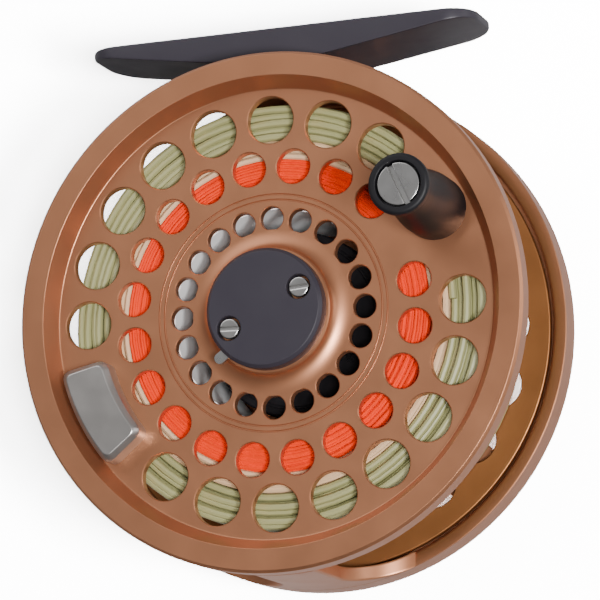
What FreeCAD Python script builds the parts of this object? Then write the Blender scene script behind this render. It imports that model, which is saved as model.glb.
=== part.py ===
"""Large-arbour fly reel: an open frame with a disc drag, and a spool that lifts off its spindle.

Lengths are in millimetres. The parts are modelled about the spool's axis, which runs along Y:
depth 0 is the recessed front face of the spool, and depth grows towards the back of the reel.
X is to the right seen from the handle's side, and +Z points to the reel foot. The last step moves
every part so that the origin is the centre of the foot's seat face.
"""
import FreeCAD, Part
import math
import os

Vector = FreeCAD.Vector

# Overall sizes
rim_radius = 38.1
line_width = 21.9
running_gap = 0.05
joint_gap = 0.4

# Spool face
rim_lip = 2.75
rim_skirt = 0.6
rim_flat = 3.1
rim_chamfer = 0.4
recess_slope = 1.5
face_web = 1.57
skirt_land = 2.2
hub_radius = 9.3
hub_height = 2.0
hub_flare = 2.7
groove_depth = 0.25
groove_half_width = 0.14
groove_insets = (0.9, 0.1)
arc_sag = 0.29

# Lightening holes, all measured clockwise from the foot, seen from the handle's side
hole_count = 20
large_margin = 4.6
large_hole = 3.5
large_start = 1.2
circle_step = 6.9
medium_hole = 2.55
medium_start = 10.2
small_circle = 13.87
small_hole = 1.74
small_start = 1.3

# Arbour drum, rear flange and windings
drum_radius = 17.5
drum_wall = 2.0
rear_flange_gap = 0.7
rear_flange_thickness = 1.2
rear_flange_edge = 0.25
line_margin = 4.0
fly_line_layers = 5.4
running_line_layers = 2.9

# Spindle, bushes and sleeve of the spool
spindle_radius = 3.0
spindle_nose = 1.2
spindle_chamfer = 0.4
bush_wall = 1.2
bush_spacing = 1.4
sleeve_wall = 3.1
sleeve_gap = 0.5
socket_gap = 0.15
socket_depth = 3.6

# Cap and latch
cap_step = 0.5
cap_height = 2.35
cap_chamfer = 0.5
cap_cavity_wall = 1.4
cap_cavity_height = 1.3
cap_screw_margin = 3.35
cap_screw_radius = 0.8
cap_screw_head = 1.45
cap_screw_head_height = 0.7
cap_screw_recess = 0.2
cap_screw_clearance = 0.35
cap_screw_slot = 0.4
cap_slot_angles = (86.0, 92.0)
cap_screw_length = 3.6
latch_groove_width = 0.8
latch_groove_depth = 0.45
latch_wire = 0.3
latch_angle = 229.0
latch_width = 1.6
latch_thickness = 0.65
latch_stand_out = 1.8
latch_shift = 1.0
latch_travel = 1.0

# Handle
handle_angle = 64.2
handle_end = 20.8
knob_base_radius = 4.65
knob_tip_radius = 4.4
knob_waist_radius = 3.5
knob_flange = 1.3
post_radius = 2.0
post_head_radius = 3.05
post_head_height = 1.5
post_thread = 1.5
post_slot = 0.75
post_slot_depth = 0.7
post_slot_angle = 153.0
washer_radius = 3.6
washer_thickness = 0.6

# Counterweight
weight_angle = 244.2
weight_gap = 0.6
weight_width = 7.2
weight_half_angle = 14.0
weight_height = 3.7
weight_corner = 1.3
weight_bevel = 0.6
weight_screw_spread = 8.0
weight_screw_radius = 1.0
weight_screw_head = 1.9
weight_screw_head_height = 0.9
weight_screw_length = 4.2

# Frame
frame_back = 2.2
ring_depth = 5.3
ring_wall = 2.1
ring_seat = 3.0
spoke_width = 9.0
spoke_count = 4
spoke_start = 45.0
frame_hub_margin = 2.2
bar_half_width = 4.6
top_bar_half_width = 7.0
bar_flare = 9.0

# Reel foot
foot_length = 60.0
foot_width = 14.3
foot_setback = 1.165
foot_thickness = 4.85
foot_tip = 1.25
foot_stand_off = 0.9
foot_corner = 4.6
pad_half_length = 7.0
pad_corner = 2.0
foot_edge = 0.4
foot_screw_spacing = 7.5
foot_screw_radius = 1.25
foot_screw_head = 2.2
foot_screw_head_height = 1.3
foot_screw_length = 5.4

# Drag housing and what it holds
housing_gap = 1.7
housing_wall = 2.2
housing_depth = 14.37
housing_lid = 1.0
mouth_gap = 0.6
housing_screw_radius = 0.8
housing_screw_head = 1.4
housing_screw_head_height = 1.1
housing_screw_length = 6.0
housing_screw_count = 3
nose_gap = 0.3
nose_wall = 1.2
bearing_wall = 1.55
bearing_width = 2.3
hub_wall = 1.0
rotor_gap = 0.5
rotor_setback = 3.9
rotor_thickness = 1.2
disc_thickness = 1.0
drag_travel = 0.5
plate_thickness = 1.8
plate_gap = 1.2
spring_height = 2.0
spring_width = 3.0
spring_wall = 0.45
thrust_thickness = 1.2
pin_margin = 2.6
pin_edge = 1.4
pin_radius = 1.0
pin_count = 3
spindle_flange_width = 2.2
spindle_flange = 1.5

# Click gear and pawl
gear_teeth = 24
gear_rim = 1.1
tooth_height = 0.8
gear_setback = 1.5
gear_thickness = 1.6
pawl_angle = 100.0
pawl_margin = 2.4
pawl_reach = 4.2
pawl_thickness = 1.2
pawl_boss = 1.25
pawl_post_radius = 0.7
pawl_spring_wall = 0.22
pawl_spring_side = 0.4
pawl_spring_sweep = (-8.0, 12.0)
pawl_spring_lift = 0.45
pawl_spring_rise = 3.75
pawl_spring_bow = 0.2
pawl_arm = 1.3
pawl_width = 1.0
pawl_lean = 4.0
pawl_tail = 22.0

# Drag knob, spindle nut and retaining screw
knob_radius = 12.6
knob_depth = 5.5
knob_standoff = 0.7
knob_web = 1.1
knob_scallops = 12
knob_scallop = 1.6
cam_radius = 7.2
nut_flats = 8.0
nut_thickness = 1.9
stud_radius = 2.4
shoulder_radius = 2.0
retainer_head = 3.3
retainer_head_height = 1.0
retainer_slot = 0.8
retainer_slot_depth = 0.5
retainer_slot_angle = 30.0
retainer_thread = 1.2
retainer_length = 3.0

# Radii worked out from the sizes above
floor_radius = rim_radius - rim_chamfer - rim_flat - recess_slope
large_circle = floor_radius - large_margin
medium_circle = large_circle - circle_step
rear_flange_radius = rim_radius - ring_wall - rear_flange_gap
fly_line_radius = rear_flange_radius - line_margin
running_line_radius = fly_line_radius - fly_line_layers
backing_radius = running_line_radius - running_line_layers
weight_outer = floor_radius - weight_gap
weight_inner = weight_outer - weight_width
drum_inner = drum_radius - drum_wall
housing_radius = drum_inner - housing_gap
housing_inner = housing_radius - housing_wall
housing_screw_circle = housing_radius - housing_wall / 2
frame_hub_radius = housing_radius + frame_hub_margin
bearing_bore = spindle_radius + running_gap
bush_radius = bearing_bore + bush_wall
sleeve_radius = bush_radius + sleeve_wall
nose_bore = spindle_radius + nose_gap
hex_flats = 2 * (nose_bore + nose_wall)
socket_flats = hex_flats + 2 * socket_gap
hub_bore = bearing_bore + bearing_wall
hub_body_radius = hub_bore + hub_wall
housing_mouth = hub_body_radius + mouth_gap
rotor_radius = housing_inner - rotor_gap
plate_inner = spindle_radius + plate_gap
pin_circle = housing_inner - pin_margin
thrust_outer = pin_circle + pin_edge
spring_outer = plate_inner + spring_width
spindle_flange_radius = spindle_radius + spindle_flange_width
gear_root = hub_body_radius + gear_rim
gear_tip = gear_root + tooth_height
pawl_pivot_circle = gear_tip + pawl_margin
cap_radius = hub_radius - cap_step
cap_screw_offset = hub_radius - cap_screw_margin
cap_cavity_radius = spindle_radius + cap_cavity_wall
latch_root = cap_cavity_radius + 2 * running_gap
latch_reach = cap_radius + latch_stand_out

# Stations along the axis, worked out from the sizes above
rear_flange_front = face_web + line_width
rear_flange_back = rear_flange_front + rear_flange_thickness
frame_front = rear_flange_back + joint_gap
frame_rear = frame_front + frame_back
ring_front = frame_rear - ring_depth
bar_front = rim_skirt + joint_gap
housing_front = frame_front - housing_depth
sleeve_depth = housing_front - sleeve_gap
socket_start = sleeve_depth - socket_depth
bush_length = (socket_start + hub_height - bush_spacing) / 2
cap_top = -hub_height - cap_height
cap_screw_top = cap_top + cap_screw_recess
cap_screw_seat = cap_screw_top + cap_screw_head_height
cap_screw_end = cap_screw_seat + cap_screw_length
pad_height = rim_radius + foot_stand_off
seat_height = pad_height + foot_thickness
foot_middle = (bar_front + ring_front) / 2 + foot_setback
foot_front = foot_middle - foot_width / 2
gear_front = housing_front + gear_setback
rotor_front = housing_front + rotor_setback
disc_front = rotor_front + rotor_thickness
disc_back = disc_front + disc_thickness
plate_front = disc_back + drag_travel + running_gap
plate_back = plate_front + plate_thickness
thrust_front = plate_back + spring_height
thrust_back = thrust_front + thrust_thickness
knob_front = frame_rear + knob_standoff
knob_rear = knob_front + knob_depth
nut_back = frame_rear + nut_thickness
shoulder_back = knob_rear - retainer_head_height
seat_shift = Vector(0, -foot_middle, -seat_height)


def joined(first, others):
    """One solid from touching pieces."""
    return first.fuse(others).removeSplitter()


def wire(points, place):
    """A closed outline. A point is (a, b), or (mid, end) for an arc through mid to end."""
    start = place(*points[0])
    here = start
    edges = []
    for step in points[1:] + [points[0]]:
        if isinstance(step[0], tuple):
            there = place(*step[1])
            edges.append(Part.Arc(here, place(*step[0]), there).toShape())
        else:
            there = place(*step)
            edges.append(Part.LineSegment(here, there).toShape())
        here = there
    return Part.Wire(edges)


def turned(points):
    """A solid of revolution about the reel's axis, from (radius, depth) points."""
    face = Part.Face(wire(points, lambda radius, depth: Vector(radius, depth, 0)))
    return face.revolve(Vector(0, 0, 0), Vector(0, 1, 0), 360)


def ring(inner, outer, front, back):
    """A plain tube about the reel's axis."""
    return turned([(inner, front), (outer, front), (outer, back), (inner, back)])


def clock(angle, radius, depth=0.0):
    """A point at a clockwise angle from the foot, seen from the handle's side."""
    turn = math.radians(angle)
    return Vector(radius * math.sin(turn), depth, radius * math.cos(turn))


def rod(radius, front, back, centre=Vector(0, 0, 0)):
    """A cylinder along the reel's axis."""
    return Part.makeCylinder(radius, back - front, centre + Vector(0, front, 0), Vector(0, 1, 0))


def cone(front_radius, back_radius, front, back, centre=Vector(0, 0, 0)):
    """A cone along the reel's axis."""
    base = centre + Vector(0, front, 0)
    return Part.makeCone(front_radius, back_radius, back - front, base, Vector(0, 1, 0))


def bar(angle, inner, outer, half_width, front, back, offset=0.0):
    """A straight block that runs outwards at a clock angle."""
    block = Part.makeBox(2 * half_width, back - front, outer - inner,
                         Vector(offset - half_width, front, inner))
    block.rotate(Vector(0, 0, 0), Vector(0, 1, 0), angle)
    return block


def hexagon(flats, front, back):
    """A hexagonal prism along the reel's axis."""
    corner = flats / math.sqrt(3)
    outline = Part.makePolygon([clock(60 * step, corner, front) for step in range(7)])
    return Part.Face(outline).extrude(Vector(0, back - front, 0))


def drilled(circle, radius, start, skipped, front, back):
    """The drills for one circle of holes, without the skipped places."""
    return [rod(radius, front, back, clock(start + 360 / hole_count * place, circle))
            for place in range(hole_count) if place not in skipped]


def places_near(angle, start, reach):
    """The hole places that lie within a reach, in degrees, of an angle."""
    step = 360 / hole_count
    return [place for place in range(hole_count)
            if abs((start + step * place - angle + 180) % 360 - 180) < reach]


def slotted_head(radius, height, front, slot_width, slot_depth, angle, centre):
    """A cheese head with a screwdriver slot across its front."""
    head = rod(radius, front, front + height, centre)
    edge = [item for item in head.Edges if abs(item.BoundBox.YMax - front) < running_gap]
    head = head.makeChamfer(height / 8, edge)
    slot = Part.makeBox(slot_width, slot_depth, 2 * radius, Vector(-slot_width / 2, 0, -radius))
    slot.rotate(Vector(0, 0, 0), Vector(0, 1, 0), angle)
    slot.translate(centre + Vector(0, front, 0))
    return head.cut(slot)


def handle_centre():
    """Where the handle's axis meets the face."""
    return clock(handle_angle, large_circle)


def skipped_large():
    """Large holes left out beside the handle and under the counterweight."""
    reach = 360 / hole_count
    return places_near(handle_angle, large_start, reach) + places_near(weight_angle, large_start, reach)


def weight_screw_centres():
    """Centres of the two screws that hold the counterweight."""
    middle = (weight_inner + weight_outer) / 2
    return [clock(weight_angle + side * weight_screw_spread, middle) for side in (-1, 1)]


def cap_screw_centres():
    """Centres of the two screws that hold the cap."""
    return [clock(handle_angle + turn, cap_screw_offset) for turn in (0, 180)]


def hub_front_profile():
    """The hub's flare and the two fine grooves, from the hub's top out to the drum."""
    flare_end = hub_radius + hub_flare
    flare_middle = (hub_radius + arc_sag * hub_flare, -arc_sag * hub_height)
    points = [(hub_radius, -hub_height), (flare_middle, (flare_end, 0))]
    for radius in (drum_radius - inset for inset in groove_insets):
        points += [(radius - groove_half_width, 0), (radius, groove_depth), (radius + groove_half_width, 0)]
    return points


def spool_face():
    """Front flange with its proud rim, its drilled web, the hub and the sleeve behind it."""
    lip_inner = floor_radius + recess_slope
    land_inner = rim_radius - skirt_land
    profile = [(bush_radius, -hub_height)] + hub_front_profile() + [
        (floor_radius, 0), (lip_inner, -rim_lip), (rim_radius - rim_chamfer, -rim_lip),
        (rim_radius, rim_chamfer - rim_lip), (rim_radius, rim_skirt), (land_inner, rim_skirt),
        (land_inner - (face_web - rim_skirt), face_web), (sleeve_radius, face_web),
        (sleeve_radius, sleeve_depth), (bush_radius, sleeve_depth)]
    front = -hub_height - 1
    cuts = drilled(large_circle, large_hole, large_start, skipped_large(), -1, face_web + 1)
    beside_handle = places_near(handle_angle, medium_start, 180 / hole_count)
    cuts += drilled(medium_circle, medium_hole, medium_start, beside_handle, -1, face_web + 1)
    cuts += drilled(small_circle, small_hole, small_start, [], -1, face_web + 1)
    cuts.append(hexagon(socket_flats, socket_start, sleeve_depth + 1))
    cuts.append(rod(post_thread, -1, face_web + 1, handle_centre()))
    for centre in cap_screw_centres():
        cuts.append(rod(cap_screw_radius, front, cap_screw_end, centre))
    for centre in weight_screw_centres():
        cuts.append(rod(weight_screw_radius, -1, face_web, centre))
        cuts.append(cone(weight_screw_radius, weight_screw_head, face_web - weight_screw_head_height,
                         face_web, centre))
    return turned(profile).cut(cuts)


def spool_drum():
    """Arbour tube between the two flanges."""
    return ring(drum_inner, drum_radius, face_web, rear_flange_front)


def spool_rear_flange():
    """Rear flange, drilled like the face, on the end of the drum."""
    edge = rear_flange_radius - rear_flange_edge
    flange = turned([(drum_inner, rear_flange_front), (edge, rear_flange_front),
                     (rear_flange_radius, rear_flange_front + rear_flange_edge),
                     (rear_flange_radius, rear_flange_back - rear_flange_edge),
                     (edge, rear_flange_back), (drum_inner, rear_flange_back)])
    drills = drilled(large_circle, large_hole, large_start, [], rear_flange_front - 1, rear_flange_back + 1)
    drills += drilled(medium_circle, medium_hole, medium_start, [], rear_flange_front - 1, rear_flange_back + 1)
    return flange.cut(drills)


def winding(inner, outer):
    """The closed space that one layer of line fills on the drum."""
    return ring(inner, outer, face_web + running_gap, rear_flange_front - running_gap)


def spool_bushes():
    """Two bronze bushes pressed into the sleeve."""
    front = ring(bearing_bore, bush_radius, -hub_height, -hub_height + bush_length)
    back = ring(bearing_bore, bush_radius, socket_start - bush_length, socket_start)
    return Part.makeCompound([front, back])


def counterweight():
    """Arc block with rounded corners and bevelled edges, opposite the handle."""
    low = weight_angle - weight_half_angle
    high = weight_angle + weight_half_angle
    points = [(low, weight_inner), ((weight_angle, weight_inner), (high, weight_inner)),
              (high, weight_outer), ((weight_angle, weight_outer), (low, weight_outer))]
    block = Part.Face(wire(points, clock)).extrude(Vector(0, -weight_height, 0))
    corners = [edge for edge in block.Edges if edge.BoundBox.YLength > weight_height / 2]
    block = block.makeFillet(weight_corner, corners)
    top = [edge for edge in block.Edges if edge.BoundBox.YMax < -weight_height + running_gap]
    block = block.makeChamfer(weight_bevel, top)
    depth = face_web - weight_screw_length
    return block.cut([rod(weight_screw_radius, depth, 1, centre) for centre in weight_screw_centres()])


def counterweight_screws():
    """Countersunk screws that hold the counterweight from behind the face."""
    screws = []
    for centre in weight_screw_centres():
        head_front = face_web - weight_screw_head_height
        shank = rod(weight_screw_radius, face_web - weight_screw_length, head_front, centre)
        screws.append(shank.fuse(cone(weight_screw_radius, weight_screw_head, head_front, face_web, centre)))
    return Part.makeCompound(screws)


def latch_line(inner, outer, half_width, front, back):
    """A block along the latch's line, which passes beside the spindle's centre."""
    lean = math.degrees(math.asin(latch_shift / latch_reach))
    return bar(latch_angle + lean, inner, outer, half_width, front, back, -latch_shift)


def latch_cap():
    """Cap over the latch, with a cavity round the spindle's nose and a channel for the lever."""
    outer = cap_radius - cap_chamfer
    cap = turned([(0, -hub_height), (cap_radius, -hub_height), (cap_radius, cap_top + cap_chamfer),
                  (outer, cap_top), (0, cap_top)])
    cavity = rod(cap_cavity_radius, -hub_height - cap_cavity_height, -hub_height)
    channel = latch_line(0, latch_reach, latch_width / 2 + 2 * running_gap,
                         -hub_height - latch_thickness - 3 * running_gap, -hub_height)
    cuts = [cavity, channel]
    for centre in cap_screw_centres():
        cuts.append(rod(cap_screw_radius, cap_top, -hub_height, centre))
        cuts.append(rod(cap_screw_head + cap_screw_clearance, cap_top, cap_screw_seat, centre))
    return cap.cut(cuts)


def cap_screws():
    """Two slotted screws, sunk in the cap."""
    screws = []
    for angle, centre in zip(cap_slot_angles, cap_screw_centres()):
        head = slotted_head(cap_screw_head, cap_screw_head_height, cap_screw_top, cap_screw_slot,
                            cap_screw_slot, angle, centre)
        screws.append(head.fuse(rod(cap_screw_radius, cap_screw_seat, cap_screw_end, centre)))
    return Part.makeCompound(screws)


def latch_lever():
    """Thin lever whose rounded end stands out from under the cap."""
    top = -hub_height - latch_thickness - running_gap
    bottom = -hub_height - running_gap
    lever = latch_line(latch_root, latch_reach, latch_width / 2, top, bottom)
    tip = [edge for edge in lever.Edges if edge.BoundBox.YLength > latch_thickness / 2
           and math.hypot(edge.CenterOfMass.x, edge.CenterOfMass.z) > cap_radius]
    return lever.makeFillet(latch_width / 2 - running_gap, tip)


def latch_spring():
    """Round wire that snaps into the spindle's groove, with a leg towards the lever."""
    centre_radius = spindle_radius - latch_groove_depth + latch_wire + running_gap
    depth = -hub_height - latch_groove_width / 2 - running_gap
    wire_ring = Part.makeTorus(centre_radius, latch_wire, Vector(0, depth, 0), Vector(0, 1, 0))
    gap = bar(latch_angle + 180, 0, cap_cavity_radius, spindle_radius / 2, depth - 1, depth + 1)
    leg_length = latch_root - centre_radius - 6 * running_gap
    direction = clock(latch_angle, 1)
    leg = Part.makeCylinder(latch_wire, leg_length, clock(latch_angle, centre_radius, depth), direction)
    return joined(wire_ring.cut(gap), [leg])


def handle_post():
    """Shouldered handle screw with a wide slotted head."""
    centre = handle_centre()
    head_top = -handle_end + 4 * running_gap
    under_head = head_top + post_head_height
    head = slotted_head(post_head_radius, post_head_height, head_top, post_slot,
                        post_slot_depth, post_slot_angle, centre)
    shank = rod(post_radius, under_head, -washer_thickness, centre)
    thread = rod(post_thread, -washer_thickness, face_web, centre)
    return joined(head, [shank, thread])


def handle_washer():
    """Washer between the knob and the face."""
    centre = handle_centre()
    disc = rod(washer_radius, -washer_thickness, 0, centre)
    return disc.cut(rod(post_thread, -washer_thickness, 0, centre))


def handle_knob():
    """Turned grip: a round-edged flange at its tip, a waist and a full base."""
    base = -washer_thickness - 3 * running_gap
    tip = -handle_end
    pocket = post_head_radius + 5 * running_gap
    floor = tip + 4 * running_gap + post_head_height + 3 * running_gap
    bore = post_radius + running_gap
    waist = tip + 2.4 * knob_flange
    middle = (base + waist) / 2
    round_edge = knob_flange / 2
    low_radius = (knob_waist_radius + knob_base_radius) / 2
    points = [(bore, base), (bore, floor), (pocket, floor), (pocket, tip),
              (knob_tip_radius - round_edge, tip),
              ((knob_tip_radius - arc_sag * round_edge, tip + arc_sag * round_edge),
               (knob_tip_radius, tip + round_edge)),
              (knob_tip_radius, tip + knob_flange),
              ((knob_waist_radius + 0.35, tip + 1.55 * knob_flange), (knob_waist_radius, waist)),
              ((low_radius - 0.25, middle), (knob_base_radius - 0.15, base - 4.6)),
              ((knob_base_radius, base - 2.8), (knob_base_radius - 0.5, base - 0.7)),
              ((knob_base_radius - 0.8, base - 0.2), (knob_base_radius - 1.3, base))]
    knob = turned(points)
    knob.translate(handle_centre())
    return knob


def bar_outline(half_width):
    """Plan of a frame bar: straight, then curving out into the ring."""
    straight = ring_front - bar_flare
    bend = bar_flare * (1 - math.sqrt(0.5))
    flare = half_width + bar_flare
    back = ring_front + ring_wall
    right = [(half_width, bar_front), (half_width, straight),
             ((half_width + bend, ring_front - bend), (flare, ring_front)), (flare, back)]
    left = [(-flare, back), (-flare, ring_front),
            ((-half_width - bend, ring_front - bend), (-half_width, straight)), (-half_width, bar_front)]
    return right + left


def frame_bar(half_width, side):
    """A bar curved to the frame's radius, on the foot's side (1) or opposite it (-1)."""
    face = Part.Face(wire(bar_outline(half_width), lambda across, depth: Vector(across, depth, 0)))
    slab = face.extrude(Vector(0, 0, side * (rim_radius + 1)))
    shell = ring(rim_radius - ring_wall, rim_radius, bar_front, ring_front + ring_wall)
    return slab.common(shell).Solids[0]


def foot_pad():
    """Flat pad on the top bar, under the foot."""
    low = rim_radius - ring_wall
    pad = Part.makeBox(2 * pad_half_length, foot_width, pad_height - low,
                       Vector(-pad_half_length, foot_front, low))
    upright = [edge for edge in pad.Edges if edge.BoundBox.ZLength > (pad_height - low) / 2]
    pad = pad.makeFillet(pad_corner, upright)
    return pad.cut(rod(low, 0, frame_rear)).Solids[0]


def frame_ring():
    """Rear ring with a rounded front edge and an inner ledge for the spokes."""
    inner = rim_radius - ring_wall
    nose = (inner + 0.36 * ring_wall, ring_front + 0.25)
    profile = [(inner - ring_seat, frame_front), (inner, frame_front), (inner, ring_front + 1.1),
               (nose, (rim_radius, ring_front)), (rim_radius, frame_rear - rim_chamfer),
               (rim_radius - rim_chamfer, frame_rear), (inner - ring_seat, frame_rear)]
    return turned(profile)


def pin_centres():
    """Centres of the thrust pins that pass through the frame."""
    return [clock(360 / pin_count * number, pin_circle) for number in range(pin_count)]


def housing_screw_centres():
    """Centres of the drag housing's screws."""
    step = 360 / housing_screw_count
    return [clock(step * (number + 0.5), housing_screw_circle) for number in range(housing_screw_count)]


def foot_screw_centres():
    """Depths of the foot's screws."""
    return [foot_middle + side * foot_screw_spacing / 2 for side in (-1, 1)]


def upright_rod(radius, low, high, depth):
    """A cylinder that stands along Z in the foot's middle plane."""
    return Part.makeCylinder(radius, high - low, Vector(0, depth, low))


def foot_screw(depth):
    """One countersunk foot screw, driven from inside the frame."""
    low = rim_radius - ring_wall
    shank = upright_rod(foot_screw_radius, low, low + foot_screw_length, depth)
    head = Part.makeCone(foot_screw_head, foot_screw_radius, foot_screw_head_height, Vector(0, depth, low))
    return joined(shank, [head])


def foot_screws():
    """The screws that hold the foot."""
    return Part.makeCompound([foot_screw(depth) for depth in foot_screw_centres()])


def frame():
    """One-piece frame: ring, two bars, four spokes and the hub that carries the drag."""
    outer = rim_radius - ring_wall - ring_seat / 2
    spokes = [bar(spoke_start + 360 / spoke_count * number, frame_hub_radius / 2, outer,
                  spoke_width / 2, frame_front, frame_rear) for number in range(spoke_count)]
    back = joined(frame_ring(), [rod(frame_hub_radius, frame_front, frame_rear)] + spokes)
    top_bar = joined(frame_bar(top_bar_half_width, 1), [foot_pad()])
    body = back.fuse([top_bar, frame_bar(bar_half_width, -1)])
    cuts = [rod(stud_radius, frame_front - 1, frame_rear + 1)]
    cuts += [rod(pin_radius + running_gap, frame_front - 1, frame_rear + 1, centre) for centre in pin_centres()]
    head_front = frame_rear - housing_screw_head_height
    for centre in housing_screw_centres():
        cuts.append(rod(housing_screw_radius, frame_front - 1, head_front, centre))
        cuts.append(rod(housing_screw_head + running_gap, head_front, frame_rear + 1, centre))
    for depth in foot_screw_centres():
        cuts.append(foot_screw(depth))
        cuts.append(upright_rod(foot_screw_head, 0, rim_radius - ring_wall, depth))
    return body.cut(cuts)


def reel_foot():
    """Foot: flat seat face above, thickest in its middle, tapering to thin rounded ends."""
    half = foot_length / 2
    outline = [(-half, seat_height), (half, seat_height), (half, seat_height - foot_tip),
               (pad_half_length, pad_height), (-pad_half_length, pad_height),
               (-half, seat_height - foot_tip)]
    face = Part.Face(wire(outline, lambda across, up: Vector(across, foot_front, up)))
    foot = face.extrude(Vector(0, foot_width, 0))
    corners = [edge for edge in foot.Edges if edge.BoundBox.ZLength > foot_tip / 2
               and edge.BoundBox.XLength < running_gap]
    foot = foot.makeFillet(foot_corner, corners)
    top = [edge for edge in foot.Edges if edge.BoundBox.ZMin > seat_height - running_gap]
    foot = foot.makeChamfer(foot_edge, top)
    return foot.cut([foot_screw(depth) for depth in foot_screw_centres()])


def spindle():
    """Fixed spindle: a grooved nose for the latch, a flange on the frame and a stud for the nut."""
    groove = spindle_radius - latch_groove_depth
    groove_front = -hub_height - latch_groove_width - running_gap
    groove_back = -hub_height - running_gap
    flange_front = frame_front - spindle_flange
    nose = -hub_height - spindle_nose
    shaft = turned([(0, nose), (spindle_radius - spindle_chamfer, nose),
                    (spindle_radius, nose + spindle_chamfer / 2), (spindle_radius, groove_front),
                    (groove, groove_front), (groove, groove_back), (spindle_radius, groove_back),
                    (spindle_radius, flange_front), (spindle_flange_radius, flange_front),
                    (spindle_flange_radius, frame_front), (stud_radius, frame_front),
                    (stud_radius, nut_back), (0, nut_back)])
    return shaft.cut(rod(retainer_thread, nut_back - retainer_length, nut_back + 1))


def spindle_nut():
    """Nut that clamps the spindle to the frame."""
    return hexagon(nut_flats, frame_rear, nut_back).cut(rod(stud_radius, frame_rear, nut_back))


def drag_housing():
    """Black cup inside the drum that closes the drag in."""
    cup = turned([(housing_mouth, housing_front), (housing_radius - rim_chamfer, housing_front),
                  (housing_radius, housing_front + rim_chamfer), (housing_radius, frame_front),
                  (housing_inner, frame_front), (housing_inner, housing_front + housing_lid),
                  (housing_mouth, housing_front + housing_lid)])
    depth = frame_rear - housing_screw_head_height - housing_screw_length
    screws = [rod(housing_screw_radius, depth, frame_front, centre) for centre in housing_screw_centres()]
    post = rod(pawl_post_radius, housing_front, housing_front + housing_lid, pawl_pivot())
    return cup.cut(screws + [post])


def housing_screws():
    """Screws that hold the drag housing from the back of the frame."""
    screws = []
    for centre in housing_screw_centres():
        under_head = frame_rear - housing_screw_head_height
        shank = rod(housing_screw_radius, under_head - housing_screw_length, under_head, centre)
        screws.append(shank.fuse(rod(housing_screw_head, under_head, frame_rear, centre)))
    return Part.makeCompound(screws)


def drive_hub():
    """Hub that turns on the spindle: a hexagon for the spool and the drag rotor's flange."""
    nose = hexagon(hex_flats, socket_start + joint_gap, housing_front - joint_gap)
    body = rod(hub_body_radius, housing_front - joint_gap, disc_back)
    rotor = rod(rotor_radius, rotor_front, disc_front)
    bores = [rod(nose_bore, socket_start, housing_front), rod(hub_bore, housing_front, disc_back + 1)]
    return joined(nose, [body, rotor]).cut(bores)


def hub_bearings():
    """Two bearings pressed into the drive hub, running on the spindle."""
    return Part.makeCompound([ring(bearing_bore, hub_bore, front, front + bearing_width)
                              for front in (housing_front, disc_back - bearing_width)])


def click_gear():
    """Toothed ring pressed on the drive hub."""
    step = 360 / gear_teeth
    points = []
    for tooth in range(gear_teeth):
        for share, radius in ((-0.42, gear_root), (-0.16, gear_tip), (0.16, gear_tip), (0.42, gear_root)):
            points.append(clock(pawl_angle + (tooth + 0.5 + share) * step, radius, gear_front))
    outline = Part.makePolygon(points + points[:1])
    gear = Part.Face(outline).extrude(Vector(0, gear_thickness, 0))
    return gear.cut(rod(hub_body_radius, gear_front, gear_front + gear_thickness))


def pawl_pivot():
    """Centre of the click pawl's post."""
    turn = pawl_reach / pawl_pivot_circle
    return clock(pawl_angle + math.degrees(turn), pawl_pivot_circle)


def click_pawl():
    """Small lever whose nose rests between two teeth of the click gear."""
    front = gear_front + (gear_thickness - pawl_thickness) / 2
    back = front + pawl_thickness
    nose = gear_root + 3 * running_gap
    root = nose + pawl_arm
    low = pawl_angle - pawl_lean
    tail = pawl_angle + pawl_tail
    points = [(pawl_angle, nose), (pawl_angle + pawl_lean, root), (tail, root + pawl_arm),
              (tail, root + pawl_arm + pawl_width), (low, root + pawl_width - 2 * running_gap), (low, root)]
    arm = Part.Face(wire(points, lambda angle, radius: clock(angle, radius, front)))
    arm = arm.extrude(Vector(0, pawl_thickness, 0))
    lever = joined(arm, [rod(pawl_boss, front, back, pawl_pivot())])
    return lever.cut(rod(pawl_post_radius + running_gap, front, back, pawl_pivot()))


def pawl_post():
    """Post of the click pawl, fixed in the housing's lid."""
    back = gear_front + gear_thickness + running_gap
    return rod(pawl_post_radius, housing_front, back, pawl_pivot())


def drag_disc():
    """Friction disc bonded to the rotor."""
    return ring(hub_body_radius, rotor_radius, disc_front, disc_back)


def pressure_plate():
    """Plate that the knob presses against the friction disc."""
    return ring(plate_inner, rotor_radius, plate_front, plate_back)


def spring_washers():
    """Two cupped spring washers between the plate and the thrust ring."""
    inner = plate_inner + running_gap
    middle = plate_back + spring_height / 2
    front = turned([(inner, middle - spring_wall), (inner, middle),
                    (spring_outer, plate_back + spring_wall), (spring_outer, plate_back)])
    back = turned([(inner, middle), (inner, middle + spring_wall), (spring_outer, thrust_front),
                   (spring_outer, thrust_front - spring_wall)])
    return Part.makeCompound([front, back])


def thrust_ring():
    """Ring that carries the thrust pins."""
    return ring(plate_inner, thrust_outer, thrust_front, thrust_back)


def thrust_pins():
    """Pins through the frame that carry the knob's push to the thrust ring."""
    pins = [rod(pin_radius, thrust_back, knob_front - running_gap, centre) for centre in pin_centres()]
    return Part.makeCompound(pins)


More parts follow.
